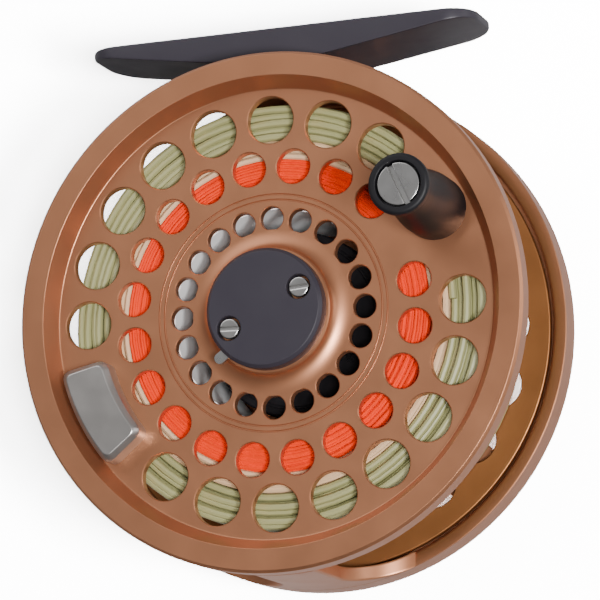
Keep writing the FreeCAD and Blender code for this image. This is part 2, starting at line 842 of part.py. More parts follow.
def drag_knob():
    """Scalloped drag knob over the spindle nut, with a flat cam face for the pins."""
    web_front = knob_rear - retainer_head_height - 2 * running_gap - knob_web
    web_back = web_front + knob_web
    bore = shoulder_radius + running_gap
    head = retainer_head + 4 * running_gap
    body = turned([(cam_radius, knob_front), (knob_radius - rim_chamfer, knob_front),
                   (knob_radius, knob_front + rim_chamfer), (knob_radius, knob_rear - 2 * rim_chamfer),
                   (knob_radius - 2 * rim_chamfer, knob_rear), (head, knob_rear), (head, web_back),
                   (bore, web_back), (bore, web_front), (cam_radius, web_front)])
    cuts = [rod(knob_scallop, knob_front - 1, knob_rear + 1,
                clock(360 / knob_scallops * number, knob_radius + 0.45 * knob_scallop))
            for number in range(knob_scallops)]
    return body.cut(cuts)


def retaining_screw():
    """Shouldered screw that holds the drag knob on the spindle's end."""
    head = slotted_head(retainer_head, retainer_head_height, -knob_rear, retainer_slot,
                        retainer_slot_depth, retainer_slot_angle, Vector(0, 0, 0))
    head.rotate(Vector(0, 0, 0), Vector(0, 0, 1), 180)
    shoulder = rod(shoulder_radius, nut_back, shoulder_back)
    thread = rod(retainer_thread, nut_back - retainer_length, nut_back)
    return joined(head, [shoulder, thread])


def pawl_spring():
    """Flat spring that presses the pawl towards the click gear."""
    low, high = (pawl_angle + sweep for sweep in pawl_spring_sweep)
    root = housing_inner - pawl_spring_lift
    tip = gear_root + pawl_spring_rise
    middle = (root + tip) / 2 - pawl_spring_bow
    points = [(low, root), ((pawl_angle, middle), (high, tip)), (high, tip + pawl_spring_wall),
              ((pawl_angle, middle + pawl_spring_wall), (low, root + pawl_spring_wall))]
    front = gear_front + pawl_spring_side
    strip = Part.Face(wire(points, lambda angle, radius: clock(angle, radius, front)))
    return strip.extrude(Vector(0, gear_thickness - 2 * pawl_spring_side, 0))


def save(node, shape):
    """Moves a shape to the seat's frame and writes it."""
    placed = shape.copy()
    placed.translate(seat_shift)
    placed.exportStep(f"parts/{node}.step")
    print(node, placed.isValid(), len(placed.Solids), round(placed.Volume, 2))


parts = {
    "frame": frame,
    "reel_foot": reel_foot,
    "foot_screws": foot_screws,
    "spindle": spindle,
    "spindle_nut": spindle_nut,
    "drag_housing": drag_housing,
    "housing_screws": housing_screws,
    "pawl_post": pawl_post,
    "pawl_spring": pawl_spring,
    "retaining_screw": retaining_screw,
    "drive_hub": drive_hub,
    "hub_bearings": hub_bearings,
    "click_gear": click_gear,
    "drag_disc": drag_disc,
    "click_pawl": click_pawl,
    "pressure_plate": pressure_plate,
    "spring_washers": spring_washers,
    "thrust_ring": thrust_ring,
    "thrust_pins": thrust_pins,
    "drag_knob": drag_knob,
    "spool_face": spool_face,
    "spool_drum": spool_drum,
    "spool_rear_flange": spool_rear_flange,
    "spool_bushes": spool_bushes,
    "counterweight": counterweight,
    "counterweight_screws": counterweight_screws,
    "backing_line": lambda: winding(drum_radius, backing_radius),
    "running_line": lambda: winding(backing_radius, running_line_radius),
    "fly_line": lambda: winding(running_line_radius, fly_line_radius),
    "latch_cap": latch_cap,
    "cap_screws": cap_screws,
    "latch_spring": latch_spring,
    "latch_lever": latch_lever,
    "handle_post": handle_post,
    "handle_washer": handle_washer,
    "handle_knob": handle_knob,
}

os.makedirs("parts", exist_ok=True)
for name, maker in parts.items():
    save(name, maker())
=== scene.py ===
import math

import bmesh
import bpy
from mathutils import Matrix, Vector


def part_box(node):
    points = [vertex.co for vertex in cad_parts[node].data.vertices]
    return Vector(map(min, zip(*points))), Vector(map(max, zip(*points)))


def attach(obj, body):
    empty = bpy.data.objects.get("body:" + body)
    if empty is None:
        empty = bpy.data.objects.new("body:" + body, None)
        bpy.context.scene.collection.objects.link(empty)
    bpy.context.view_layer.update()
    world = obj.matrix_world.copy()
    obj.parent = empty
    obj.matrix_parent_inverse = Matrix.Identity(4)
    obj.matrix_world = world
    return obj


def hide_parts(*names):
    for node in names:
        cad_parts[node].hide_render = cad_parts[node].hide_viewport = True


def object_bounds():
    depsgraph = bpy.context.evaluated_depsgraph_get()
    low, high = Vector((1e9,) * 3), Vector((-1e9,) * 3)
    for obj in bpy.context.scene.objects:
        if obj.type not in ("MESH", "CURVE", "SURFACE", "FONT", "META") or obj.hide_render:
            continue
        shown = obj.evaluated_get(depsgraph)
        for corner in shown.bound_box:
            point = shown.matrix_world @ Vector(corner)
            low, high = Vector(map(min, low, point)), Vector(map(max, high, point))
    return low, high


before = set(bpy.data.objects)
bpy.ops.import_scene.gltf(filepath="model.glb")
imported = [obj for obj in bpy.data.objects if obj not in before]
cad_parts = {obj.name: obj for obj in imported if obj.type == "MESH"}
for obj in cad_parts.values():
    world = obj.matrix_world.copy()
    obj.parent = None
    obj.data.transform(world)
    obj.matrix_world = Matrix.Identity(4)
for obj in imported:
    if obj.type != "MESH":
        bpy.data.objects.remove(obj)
cadBox = [list(corner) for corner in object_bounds()]
print("frame loaded")

# Lengths in the dictionaries are millimetres. The reel's axis runs along Y, depth 0 is the recessed
# face of the spool and depth grows towards the back.
mm = 0.001
axisZ = (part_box("spool_face")[0][2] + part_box("spool_face")[1][2]) / 2
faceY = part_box("counterweight")[1][1]
smoothAngle = math.radians(36)


def nodeRadius(node):
    low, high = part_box(node)
    return (high[0] - low[0]) / 2 / mm


def nodeDepths(node):
    low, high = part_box(node)
    return (low[1] - faceY) / mm, (high[1] - faceY) / mm


def clock(angle, radius, depth=0.0):
    # clockwise angle from the foot, seen from the handle's side
    turn = math.radians(angle)
    return Vector((radius * mm * math.sin(turn), faceY + depth * mm, axisZ + radius * mm * math.cos(turn)))


def clockCentre(angle, radius):
    # the same place as (x, z) in millimetres from the reel's axis
    spot = clock(angle, radius)
    return spot.x / mm, (spot.z - axisZ) / mm


# ---- finishes ----

def addNode(tree, kind, sockets=None, **settings):
    # sockets go by name, or by number where names repeat
    node = tree.nodes.new(kind)
    for name, value in settings.items():
        setattr(node, name, value)
    for name, value in (sockets or {}).items():
        if isinstance(value, bpy.types.NodeSocket):
            tree.links.new(value, node.inputs[name])
        else:
            node.inputs[name].default_value = value
    return node


def mathNode(tree, operation, first, second=0.0, third=0.0):
    node = addNode(tree, "ShaderNodeMath", {0: first, 1: second, 2: third}, operation=operation)
    return node.outputs[0]


def holdBetween(tree, value, low, high):
    return mathNode(tree, "MINIMUM", mathNode(tree, "MAXIMUM", value, low), high)


def mixColour(tree, share, first, second):
    return addNode(tree, "ShaderNodeMix", {0: share, 6: first, 7: second}, data_type="RGBA").outputs[2]


def emptyTree(owner):
    owner.use_nodes = True
    owner.node_tree.nodes.clear()
    return owner.node_tree


def shaderGroup(name, inputs, outputs):
    tree = bpy.data.node_groups.new(name, "ShaderNodeTree")
    for label, kind, value in inputs:
        socket = tree.interface.new_socket(label, in_out="INPUT", socket_type="NodeSocket" + kind)
        if value is not None:
            socket.default_value = value
    for label, kind in outputs:
        tree.interface.new_socket(label, in_out="OUTPUT", socket_type="NodeSocket" + kind)
    return tree, tree.nodes.new("NodeGroupInput").outputs, tree.nodes.new("NodeGroupOutput").inputs


def makeSatinGrain():
    # bead-blasted surface: a fine even grain and a slow patchiness
    tree, given, result = shaderGroup(
        "satinGrain",
        [("Vector", "Vector", None), ("Scale", "Float", 6000.0)],
        [("Height", "Float"), ("Patches", "Float")])
    fine = addNode(tree, "ShaderNodeTexNoise",
                   {"Vector": given["Vector"], "Scale": given["Scale"], "Detail": 3.0, "Roughness": 0.6})
    slow = addNode(tree, "ShaderNodeTexNoise", {"Vector": given["Vector"], "Scale": 180.0, "Detail": 4.0})
    tree.links.new(fine.outputs[0], result["Height"])
    tree.links.new(slow.outputs[0], result["Patches"])
    return tree


def makeTurnedRings():
    # fine tool marks that follow circles about the piece's axis
    tree, given, result = shaderGroup(
        "turnedRings",
        [("Vector", "Vector", None), ("Scale", "Float", 9000.0)],
        [("Height", "Float")])
    split = addNode(tree, "ShaderNodeSeparateXYZ", {"Vector": given["Vector"]})
    across = mathNode(tree, "MULTIPLY", split.outputs["X"], split.outputs["X"])
    up = mathNode(tree, "MULTIPLY", split.outputs["Z"], split.outputs["Z"])
    radius = mathNode(tree, "SQRT", mathNode(tree, "ADD", across, up))
    place = addNode(tree, "ShaderNodeCombineXYZ",
                    {"X": mathNode(tree, "MULTIPLY", radius, given["Scale"]),
                     "Y": mathNode(tree, "MULTIPLY", split.outputs["Y"], given["Scale"])})
    marks = addNode(tree, "ShaderNodeTexNoise", {"Vector": place.outputs[0], "Scale": 1.0, "Detail": 3.0})
    tree.links.new(marks.outputs[0], result["Height"])
    return tree


def makeEdgeWearAndSheen():
    # a mask that is white along convex edges: rubbed bright metal there, and a painted highlight where the
    # edges catch the light
    tree, given, result = shaderGroup(
        "edgeWearAndSheen",
        [("Vector", "Vector", None), ("From", "Float", 0.53),
         ("To", "Float", 0.62), ("Amount", "Float", 0.5)],
        [("Mask", "Float")])
    point = addNode(tree, "ShaderNodeNewGeometry")
    edge = addNode(tree, "ShaderNodeMapRange", {
        "Value": point.outputs["Pointiness"], "From Min": given["From"], "From Max": given["To"]})
    broken = addNode(tree, "ShaderNodeTexNoise", {"Vector": given["Vector"], "Scale": 900.0, "Detail": 5.0})
    chips = addNode(tree, "ShaderNodeMapRange",
                    {"Value": broken.outputs[0], "From Min": 0.38, "From Max": 0.6})
    both = mathNode(tree, "MULTIPLY", edge.outputs[0], chips.outputs[0])
    tree.links.new(mathNode(tree, "MULTIPLY", both, given["Amount"]), result["Mask"])
    return tree


def makeToneDrift():
    # slow change of a colour over the surface
    tree, given, result = shaderGroup(
        "toneDrift",
        [("Vector", "Vector", None), ("Colour", "Color", (0.5, 0.5, 0.5, 1.0)),
         ("Second", "Color", (0.4, 0.4, 0.4, 1.0)), ("Scale", "Float", 60.0)],
        [("Colour", "Color")])
    noise = addNode(tree, "ShaderNodeTexNoise",
                    {"Vector": given["Vector"], "Scale": given["Scale"], "Detail": 6.0, "Roughness": 0.6})
    share = addNode(tree, "ShaderNodeMapRange",
                    {"Value": noise.outputs[0], "From Min": 0.3, "From Max": 0.7})
    tree.links.new(mixColour(tree, share.outputs[0], given["Colour"], given["Second"]), result["Colour"])
    return tree


def makeLineCoat():
    # plastic coat of a line: faint bands along it, and a fine braid when Braid is up
    tree, given, result = shaderGroup(
        "lineCoat",
        [("Braid", "Float", 0.0), ("Pitch", "Float", 900.0)],
        [("Height", "Float"), ("Shade", "Float")])
    along = addNode(tree, "ShaderNodeAttribute", attribute_name="along")
    around = addNode(tree, "ShaderNodeAttribute", attribute_name="around")
    length = mathNode(tree, "MULTIPLY", along.outputs["Fac"], given["Pitch"])
    turn = mathNode(tree, "MULTIPLY", around.outputs["Fac"], 2 * math.pi)
    left = mathNode(tree, "SINE", mathNode(tree, "ADD", length, turn))
    right = mathNode(tree, "SINE", mathNode(tree, "SUBTRACT", length, turn))
    weave = mathNode(tree, "MULTIPLY", mathNode(tree, "MAXIMUM", left, right), given["Braid"])
    place = addNode(tree, "ShaderNodeCombineXYZ",
                    {"X": mathNode(tree, "MULTIPLY", along.outputs["Fac"], 90.0)})
    bands = addNode(tree, "ShaderNodeTexNoise", {"Vector": place.outputs[0], "Scale": 1.0, "Detail": 5.0})
    tree.links.new(weave, result["Height"])
    tree.links.new(bands.outputs[0], result["Shade"])
    return tree


satinGrain = makeSatinGrain()
turnedRings = makeTurnedRings()
edgeWearAndSheen = makeEdgeWearAndSheen()
toneDrift = makeToneDrift()
lineCoat = makeLineCoat()


def colour(red, green, blue):
    return (red, green, blue, 1.0)


def baseMaterial(name, look):
    material = bpy.data.materials.new(name)
    tree = emptyTree(material)
    shader = addNode(tree, "ShaderNodeBsdfPrincipled", {
        "Metallic": look.get("metallic", 0.0), "IOR": look.get("ior", 1.5),
        "Coat Weight": look.get("coat", 0.0), "Coat Roughness": look.get("coatRoughness", 0.1),
        "Specular Tint": colour(*look.get("edgeTint", (1.0, 1.0, 1.0)))})
    addNode(tree, "ShaderNodeOutputMaterial", {"Surface": shader.outputs[0]})
    place = addNode(tree, "ShaderNodeTexCoord")
    centred = addNode(tree, "ShaderNodeMapping",
                      {"Vector": place.outputs["Object"], "Location": (0.0, 0.0, -axisZ)}).outputs[0]
    tone = addNode(tree, "ShaderNodeGroup", {
        "Vector": centred, "Colour": colour(*look["colour"]), "Second": colour(*look["second"]),
        "Scale": look.get("toneScale", 60.0)}, node_tree=toneDrift)
    return material, tree, shader, tone.outputs[0], centred


def linkShader(tree, shader, shade, rough, bump):
    tree.links.new(shade, shader.inputs["Base Color"])
    tree.links.new(rough.outputs[0], shader.inputs["Roughness"])
    tree.links.new(bump.outputs[0], shader.inputs["Normal"])


def metalFinish(name, look):
    material, tree, shader, shade, vector = baseMaterial(name, look)
    # edges lightened by this mask are partly wear and partly painted highlight
    if "wearAndSheen" in look:
        wearAndSheen = addNode(tree, "ShaderNodeGroup", {"Vector": vector, "Amount": look["wearAndSheen"]},
                       node_tree=edgeWearAndSheen)
        shade = mixColour(tree, wearAndSheen.outputs["Mask"], shade, colour(*look["wornAndLitColour"]))
    grain = addNode(tree, "ShaderNodeGroup", {"Vector": vector, "Scale": look["grainScale"]},
                    node_tree=satinGrain)
    rough = addNode(tree, "ShaderNodeMapRange",
                    {"Value": grain.outputs["Patches"], "From Min": 0.3, "From Max": 0.7,
                     "To Min": look["roughness"][0], "To Max": look["roughness"][1]})
    height = mathNode(tree, "MULTIPLY", grain.outputs["Height"], look["grainDepth"])
    if "ringDepth" in look:
        rings = addNode(tree, "ShaderNodeGroup", {"Vector": vector, "Scale": look["ringScale"]},
                        node_tree=turnedRings)
        height = mathNode(tree, "ADD", height,
                          mathNode(tree, "MULTIPLY", rings.outputs["Height"], look["ringDepth"]))
    bump = addNode(tree, "ShaderNodeBump", {"Height": height, "Strength": 1.0, "Distance": 0.00001})
    linkShader(tree, shader, shade, rough, bump)
    return material


def lineFinish(name, look):
    material, tree, shader, tone = baseMaterial(name, look)[:4]
    coat = addNode(tree, "ShaderNodeGroup", {
        "Braid": look.get("braid", 0.0), "Pitch": look.get("pitch", 0.0)}, node_tree=lineCoat)
    share = mathNode(tree, "MULTIPLY", coat.outputs["Shade"], look["bands"])
    shade = mixColour(tree, share, tone, colour(*look["dark"]))
    rough = addNode(tree, "ShaderNodeMapRange",
                    {"Value": coat.outputs["Shade"], "To Min": look["roughness"][0],
                     "To Max": look["roughness"][1]})
    bump = addNode(tree, "ShaderNodeBump",
                   {"Height": coat.outputs["Height"], "Strength": 0.6, "Distance": 0.00002})
    linkShader(tree, shader, shade, rough, bump)
    return material


bronze = metalFinish("bronzeAnodised", {
    "colour": (0.49, 0.212, 0.110), "second": (0.46, 0.197, 0.101), "metallic": 0.85,
    "roughness": (0.36, 0.42), "grainScale": 9000.0, "grainDepth": 0.35, "edgeTint": (1.0, 0.97, 0.98),
    "coat": 0.12, "coatRoughness": 0.3})
# a darker copy of the face's bronze for the rear flange: painted shade, since the flange sits deep inside
# the reel; its turned rings are its own finish
bronzeShadedInner = metalFinish("bronzeShadedInner", {
    "colour": (0.33, 0.135, 0.046), "second": (0.30, 0.122, 0.042), "metallic": 0.85,
    "roughness": (0.38, 0.46), "grainScale": 9000.0, "grainDepth": 0.3, "ringScale": 7000.0,
    "ringDepth": 0.15})
blackAlloy = metalFinish("blackAnodised", {
    "colour": (0.030, 0.026, 0.035), "second": (0.034, 0.030, 0.039), "metallic": 0.05, "ior": 1.38,
    "roughness": (0.36, 0.44), "grainScale": 9000.0, "grainDepth": 0.3})
housingBlack = metalFinish("housingBlack", {
    "colour": (0.006, 0.005, 0.007), "second": (0.008, 0.007, 0.009), "ior": 1.3, "roughness": (0.5, 0.6),
    "grainScale": 8000.0, "grainDepth": 0.3, "ringScale": 6000.0, "ringDepth": 0.15})
turnedSteel = metalFinish("turnedSteel", {
    "colour": (0.60, 0.59, 0.57), "second": (0.52, 0.51, 0.5), "wornAndLitColour": (0.85, 0.84, 0.82),
    "metallic": 1.0, "roughness": (0.24, 0.34), "wearAndSheen": 0.1, "grainScale": 5000.0, "grainDepth": 0.25,
    "ringScale": 9000.0, "ringDepth": 0.25})
weightSteel = metalFinish("weightSteel", {
    "colour": (0.46, 0.435, 0.415), "second": (0.40, 0.38, 0.36), "wornAndLitColour": (0.75, 0.74, 0.72),
    "metallic": 0.9, "roughness": (0.3, 0.4), "wearAndSheen": 0.3, "grainScale": 4000.0, "grainDepth": 0.4})
drumAlloy = metalFinish("naturalAlloy", {
    "colour": (0.95, 0.945, 0.94), "second": (0.92, 0.915, 0.91), "roughness": (0.4, 0.5),
    "grainScale": 5000.0, "grainDepth": 0.2, "ringScale": 7000.0, "ringDepth": 0.3})
bushBronze = metalFinish("bushBronze", {
    "colour": (0.60, 0.40, 0.18), "second": (0.52, 0.34, 0.15), "wornAndLitColour": (0.8, 0.62, 0.38),
    "metallic": 1.0, "roughness": (0.3, 0.42), "wearAndSheen": 0.3, "grainScale": 5000.0, "grainDepth": 0.3,
    "ringScale": 8000.0, "ringDepth": 0.3})
carbonDisc = metalFinish("carbonDisc", {
    "colour": (0.03, 0.03, 0.032), "second": (0.045, 0.045, 0.047), "wornAndLitColour": (0.1, 0.1, 0.1),
    "roughness": (0.5, 0.65), "wearAndSheen": 0.2, "grainScale": 3000.0, "grainDepth": 1.0})
knobBlack = metalFinish("knobBlack", {
    "colour": (0.006, 0.0055, 0.007), "second": (0.008, 0.0075, 0.009), "ior": 1.33,
    "roughness": (0.44, 0.52), "grainScale": 7000.0, "grainDepth": 0.25, "ringScale": 5000.0,
    "ringDepth": 0.15})
oliveLine = lineFinish("oliveLine", {
    "colour": (0.34, 0.33, 0.15), "second": (0.29, 0.285, 0.125), "dark": (0.17, 0.17, 0.07), "bands": 0.2,
    "roughness": (0.38, 0.52), "toneScale": 70.0})
tanLine = lineFinish("tanLine", {
    "colour": (0.74, 0.50, 0.30), "second": (0.68, 0.45, 0.26), "dark": (0.45, 0.28, 0.14), "bands": 0.25,
    "roughness": (0.4, 0.55), "toneScale": 70.0})
orangeLine = lineFinish("orangeLine", {
    "colour": (0.92, 0.05, 0.0), "second": (0.90, 0.035, 0.0), "dark": (0.50, 0.012, 0.0), "bands": 0.5,
    "ior": 1.2, "roughness": (0.5, 0.65), "braid": 1.0, "pitch": 4500.0, "toneScale": 120.0})
print("finishes made")


# ---- shaping helpers ----

def roundCorners(points, steps=4):
    # (x, y) or (x, y, radius) points; a radius rounds that corner with a short arc
    result = []
    last = len(points) - 1
    for index, point in enumerate(points):
        radius = point[2] if len(point) > 2 else 0.0
        here = Vector(point[:2])
        if not radius or index in (0, last):
            result.append((here.x, here.y))
            continue
        before = Vector(points[index - 1][:2]) - here
        after = Vector(points[index + 1][:2]) - here
        half = before.angle(after) / 2
        cut = radius / math.tan(half)
        start = here + before.normalized() * cut
        end = here + after.normalized() * cut
        middle = here + (before.normalized() + after.normalized()).normalized() * (radius / math.sin(half))
        first = start - middle
        sweep = math.pi - 2 * half
        side = 1 if first.x * (end - middle).y - first.y * (end - middle).x > 0 else -1
        for step in range(steps + 1):
            turn = side * sweep * step / steps
            spun = Vector((first.x * math.cos(turn) - first.y * math.sin(turn),
                           first.x * math.sin(turn) + first.y * math.cos(turn)))
            result.append(((middle + spun).x, (middle + spun).y))
    return result


def spin(shape, profile, segments, centre=(0.0, 0.0), closed=False):
    # turns a (radius, depth) profile about an axis along Y; centre is (x, z) from the reel's axis
    rings = []
    for radius, depth in profile:
        ring = []
        for step in range(segments):
            turn = 2 * math.pi * step / segments
            ring.append(shape.verts.new((centre[0] * mm + radius * mm * math.cos(turn), faceY + depth * mm,
                                         axisZ + centre[1] * mm + radius * mm * math.sin(turn))))
        rings.append(ring)
    pairs = list(zip(rings, rings[1:]))
    if closed:
        pairs.append((rings[-1], rings[0]))
    for low, high in pairs:
        for step in range(segments):
            after = (step + 1) % segments
            shape.faces.new((low[step], low[after], high[after], high[step]))


def skin(shape, loops, capFirst=True, capLast=True):
    # joins closed loops of points, each with as many points as the next
    rows = [[shape.verts.new(point) for point in loop] for loop in loops]
    for low, high in zip(rows, rows[1:]):
        for step in range(len(low)):
            after = (step + 1) % len(low)
            shape.faces.new((low[step], low[after], high[after], high[step]))
    if capFirst:
        shape.faces.new(rows[0])
    if capLast:
        shape.faces.new(rows[-1])


def at(across, depth, up):
    # a point in millimetres from the reel's axis and the recessed face
    return (across * mm, faceY + depth * mm, axisZ + up * mm)


def bentCorner(first, corner, last, steps=6):
    # points of a curve that leaves first towards corner and arrives at last from it
    points = []
    for step in range(steps + 1):
        share = step / steps
        points.append(tuple((1 - share) ** 2 * a + 2 * share * (1 - share) * b + share ** 2 * c
                            for a, b, c in zip(first, corner, last)))
    return points


def addObject(name, data):
    made = bpy.data.objects.new(name, data)
    bpy.context.collection.objects.link(made)
    return made


def closeUp(shape):
    bmesh.ops.remove_doubles(shape, verts=shape.verts, dist=0.0000015)
    bmesh.ops.dissolve_degenerate(shape, dist=0.0000005, edges=shape.edges)
    bmesh.ops.recalc_face_normals(shape, faces=shape.faces)


def newPiece(name, shape, material, sharp=smoothAngle, close=True):
    if close:
        closeUp(shape)
    mesh = bpy.data.meshes.new(name)
    shape.to_mesh(mesh)
    shape.free()
    mesh.shade_smooth()
    mesh.set_sharp_from_angle(angle=sharp)
    mesh.materials.clear()
    mesh.materials.append(material)
    piece = addObject(name, mesh)
    piece.modifiers.new("faceWeights", "WEIGHTED_NORMAL").keep_sharp = True
    return piece


def settle(piece, body, slotName, *nodes):
    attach(piece, body)
    if nodes:
        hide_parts(*nodes)


def geometryTree(name, inputs):
    # inputs are {kind: labels}
    tree = bpy.data.node_groups.new(name, "GeometryNodeTree")
    for side in ("INPUT", "OUTPUT"):
        tree.interface.new_socket("Geometry", in_out=side, socket_type="NodeSocketGeometry")
    for kind, labels in inputs.items():
        for label in labels:
            tree.interface.new_socket(label, in_out="INPUT", socket_type="NodeSocket" + kind)
    return tree, tree.nodes.new("NodeGroupInput").outputs, tree.nodes.new("NodeGroupOutput").inputs


def endTree(tree, geometry, material, result):
    real = addNode(tree, "GeometryNodeRealizeInstances", {"Geometry": geometry})
    painted = addNode(tree, "GeometryNodeSetMaterial", {"Geometry": real.outputs[0], "Material": material})
    tree.links.new(painted.outputs[0], result["Geometry"])


def growMesh(name, mesh, tree, values):
    # runs a tree on a mesh and returns the plain mesh that it makes
    holder = addObject(name, mesh)
    modifier = holder.modifiers.new("tree", "NODES")
    modifier.node_group = tree
    for item in tree.interface.items_tree:
        if item.in_out == "INPUT" and item.name in values:
            modifier[item.identifier] = values[item.name]
    holder.update_tag()
    ready = holder.evaluated_get(bpy.context.evaluated_depsgraph_get())
    grown = bpy.data.meshes.new_from_object(ready)
    holder.modifiers.remove(modifier)
    bpy.data.objects.remove(holder)
    return grown


def makeDrilledPlate():
    # a flat ring about the reel's axis with chamfered holes at its points or along its outlines
    tree, given, result = geometryTree("drilledPlate", {
        "Float": ("Inner Radius", "Outer Radius", "Front", "Thickness", "Chamfer", "Height"),
        "Int": ("Rim Segments", "Hole Segments"), "Material": ("Material",)})
    chamfer = given["Chamfer"]
    thickness = given["Thickness"]
    drill = addNode(tree, "GeometryNodeInputNamedAttribute", {"Name": "holeRadius"}, data_type="FLOAT")
    size = mathNode(tree, "ADD", drill.outputs[0], chamfer)
    circle = addNode(tree, "GeometryNodeCurvePrimitiveCircle",
                     {"Resolution": given["Hole Segments"], "Radius": 1.0})
    drilled = mathNode(tree, "GREATER_THAN", drill.outputs[0], 0.00001)
    holes = addNode(tree, "GeometryNodeInstanceOnPoints", {
        "Points": given["Geometry"], "Selection": drilled, "Instance": circle.outputs[0],
        "Scale": addNode(tree, "ShaderNodeCombineXYZ", {"X": size, "Y": size, "Z": 1.0}).outputs[0]})
    loops = addNode(tree, "GeometryNodeMeshToCurve", {"Mesh": given["Geometry"]})
    cuts = addNode(tree, "GeometryNodeJoinGeometry")
    tree.links.new(addNode(tree, "GeometryNodeRealizeInstances", {"Geometry": holes.outputs[0]}).outputs[0],
                   cuts.inputs[0])
    tree.links.new(loops.outputs[0], cuts.inputs[0])
    outline = addNode(tree, "GeometryNodeJoinGeometry")
    for radius in ("Inner Radius", "Outer Radius"):
        edge = addNode(tree, "GeometryNodeCurvePrimitiveCircle",
                       {"Resolution": given["Rim Segments"], "Radius": given[radius]})
        tree.links.new(edge.outputs[0], outline.inputs[0])
    tree.links.new(cuts.outputs[0], outline.inputs[0])
    front = addNode(tree, "GeometryNodeFillCurve", {"Curve": outline.outputs[0]}, mode="NGONS")
    drop = addNode(tree, "ShaderNodeCombineXYZ", {"Z": mathNode(tree, "MULTIPLY", thickness, -1.0)})
    back = addNode(tree, "GeometryNodeTransform",
                   {"Geometry": front.outputs[0], "Translation": drop.outputs[0]})
    flat = addNode(tree, "GeometryNodeSetCurveNormal", {"Curve": cuts.outputs[0]}, mode="Z_UP")
    inward = mathNode(tree, "MULTIPLY", chamfer, -1.0)
    low = mathNode(tree, "SUBTRACT", thickness, chamfer)
    corners = [(0.0, 0.0), (inward, chamfer), (inward, low), (0.0, thickness)]
    profile = addNode(tree, "GeometryNodeJoinGeometry")
    for start, end in zip(corners, corners[1:]):
        ends = [addNode(tree, "ShaderNodeCombineXYZ", {"X": inwards, "Y": down})
                for inwards, down in (start, end)]
        line = addNode(tree, "GeometryNodeCurvePrimitiveLine",
                       {"Start": ends[0].outputs[0], "End": ends[1].outputs[0]})
        tree.links.new(line.outputs[0], profile.inputs[0])
    walls = addNode(tree, "GeometryNodeCurveToMesh",
                    {"Curve": flat.outputs[0], "Profile Curve": profile.outputs[0]})
    plate = addNode(tree, "GeometryNodeJoinGeometry")
    for part in (front, back, walls):
        tree.links.new(part.outputs[0], plate.inputs[0])
    # upright, facing the handle's side
    stand = addNode(tree, "ShaderNodeCombineXYZ", {"Y": given["Front"], "Z": given["Height"]})
    upright = addNode(tree, "GeometryNodeTransform", {
        "Geometry": plate.outputs[0], "Translation": stand.outputs[0], "Rotation": (math.pi / 2, 0.0, 0.0)})
    endTree(tree, upright.outputs[0], given["Material"], result)
    return tree


drilledPlate = makeDrilledPlate()


def plateMesh(name, holes, outlines, values, material):
    # holes are (angle, circle, radius); outlines are closed lists of (x, z) from the reel's axis
    mesh = bpy.data.meshes.new(name)
    points = []
    sizes = []
    edges = []
    for angle, circle, radius in holes:
        turn = math.radians(angle)
        points.append((circle * mm * math.sin(turn), circle * mm * math.cos(turn), 0.0))
        sizes.append(radius * mm)
    for outline in outlines:
        first = len(points)
        points += [(across * mm, up * mm, 0.0) for across, up in outline]
        sizes += [0.0] * len(outline)
        edges += [(first + step, first + (step + 1) % len(outline)) for step in range(len(outline))]
    mesh.from_pydata(points, edges, [])
    mesh.attributes.new("holeRadius", "FLOAT", "POINT").data.foreach_set("value", sizes)
    return growMesh(name, mesh, drilledPlate, {
        "Inner Radius": values["inner"] * mm, "Outer Radius": values["outer"] * mm,
        "Front": faceY + values["front"] * mm, "Thickness": values["thickness"] * mm,
        "Chamfer": values["chamfer"] * mm, "Rim Segments": values["segments"],
        "Hole Segments": values["holeSegments"], "Height": axisZ, "Material": material})


# ---- spool ----

spoolValues = {
    "segments": 288, "holeSegments": 56, "chamfer": 0.14,
    "holeCount": 20, "rimFlat": 3.1, "recessSlope": 1.5, "rimChamfer": 0.4,
    "large": (28.5, 3.5, 1.2), "medium": (21.6, 2.55, 10.2), "small": (13.87, 1.74, 1.3),
    "handleAngle": 64.2, "weightAngle": 244.2,
    "hubRadius": 9.3, "hubHeight": 2.0, "flareRadius": 12.2,
    "grooves": (17.4, 16.6), "grooveWidth": 0.3, "grooveDepth": 0.28,
    "sleeveRadius": 7.35, "bushRadius": 4.25, "skirtLand": 2.2, "skirt": 0.6, "floorLand": 0.3,
    "grooveLand": 0.4, "flareShare": 0.82, "hubEdge": 0.2, "drumWall": 2.0, "drumSegments": 192,
    "flangeLand": 1.2, "boreLand": 1.0,
}


def holeRing(circle, radius, start, avoid=(), clear=0.0):
    count = spoolValues["holeCount"]
    ring = []
    for place in range(count):
        angle = start + 360 / count * place
        if all(abs((angle - other + 180) % 360 - 180) >= clear for other in avoid):
            ring.append((angle, circle, radius))
    return ring


def groove(centre, front):
    half = spoolValues["grooveWidth"] / 2
    depth = front + spoolValues["grooveDepth"]
    return [(centre - half, front), (centre - half * 0.5, depth - 0.06, 0.05),
            (centre + half * 0.5, depth - 0.06, 0.05), (centre + half, front)]


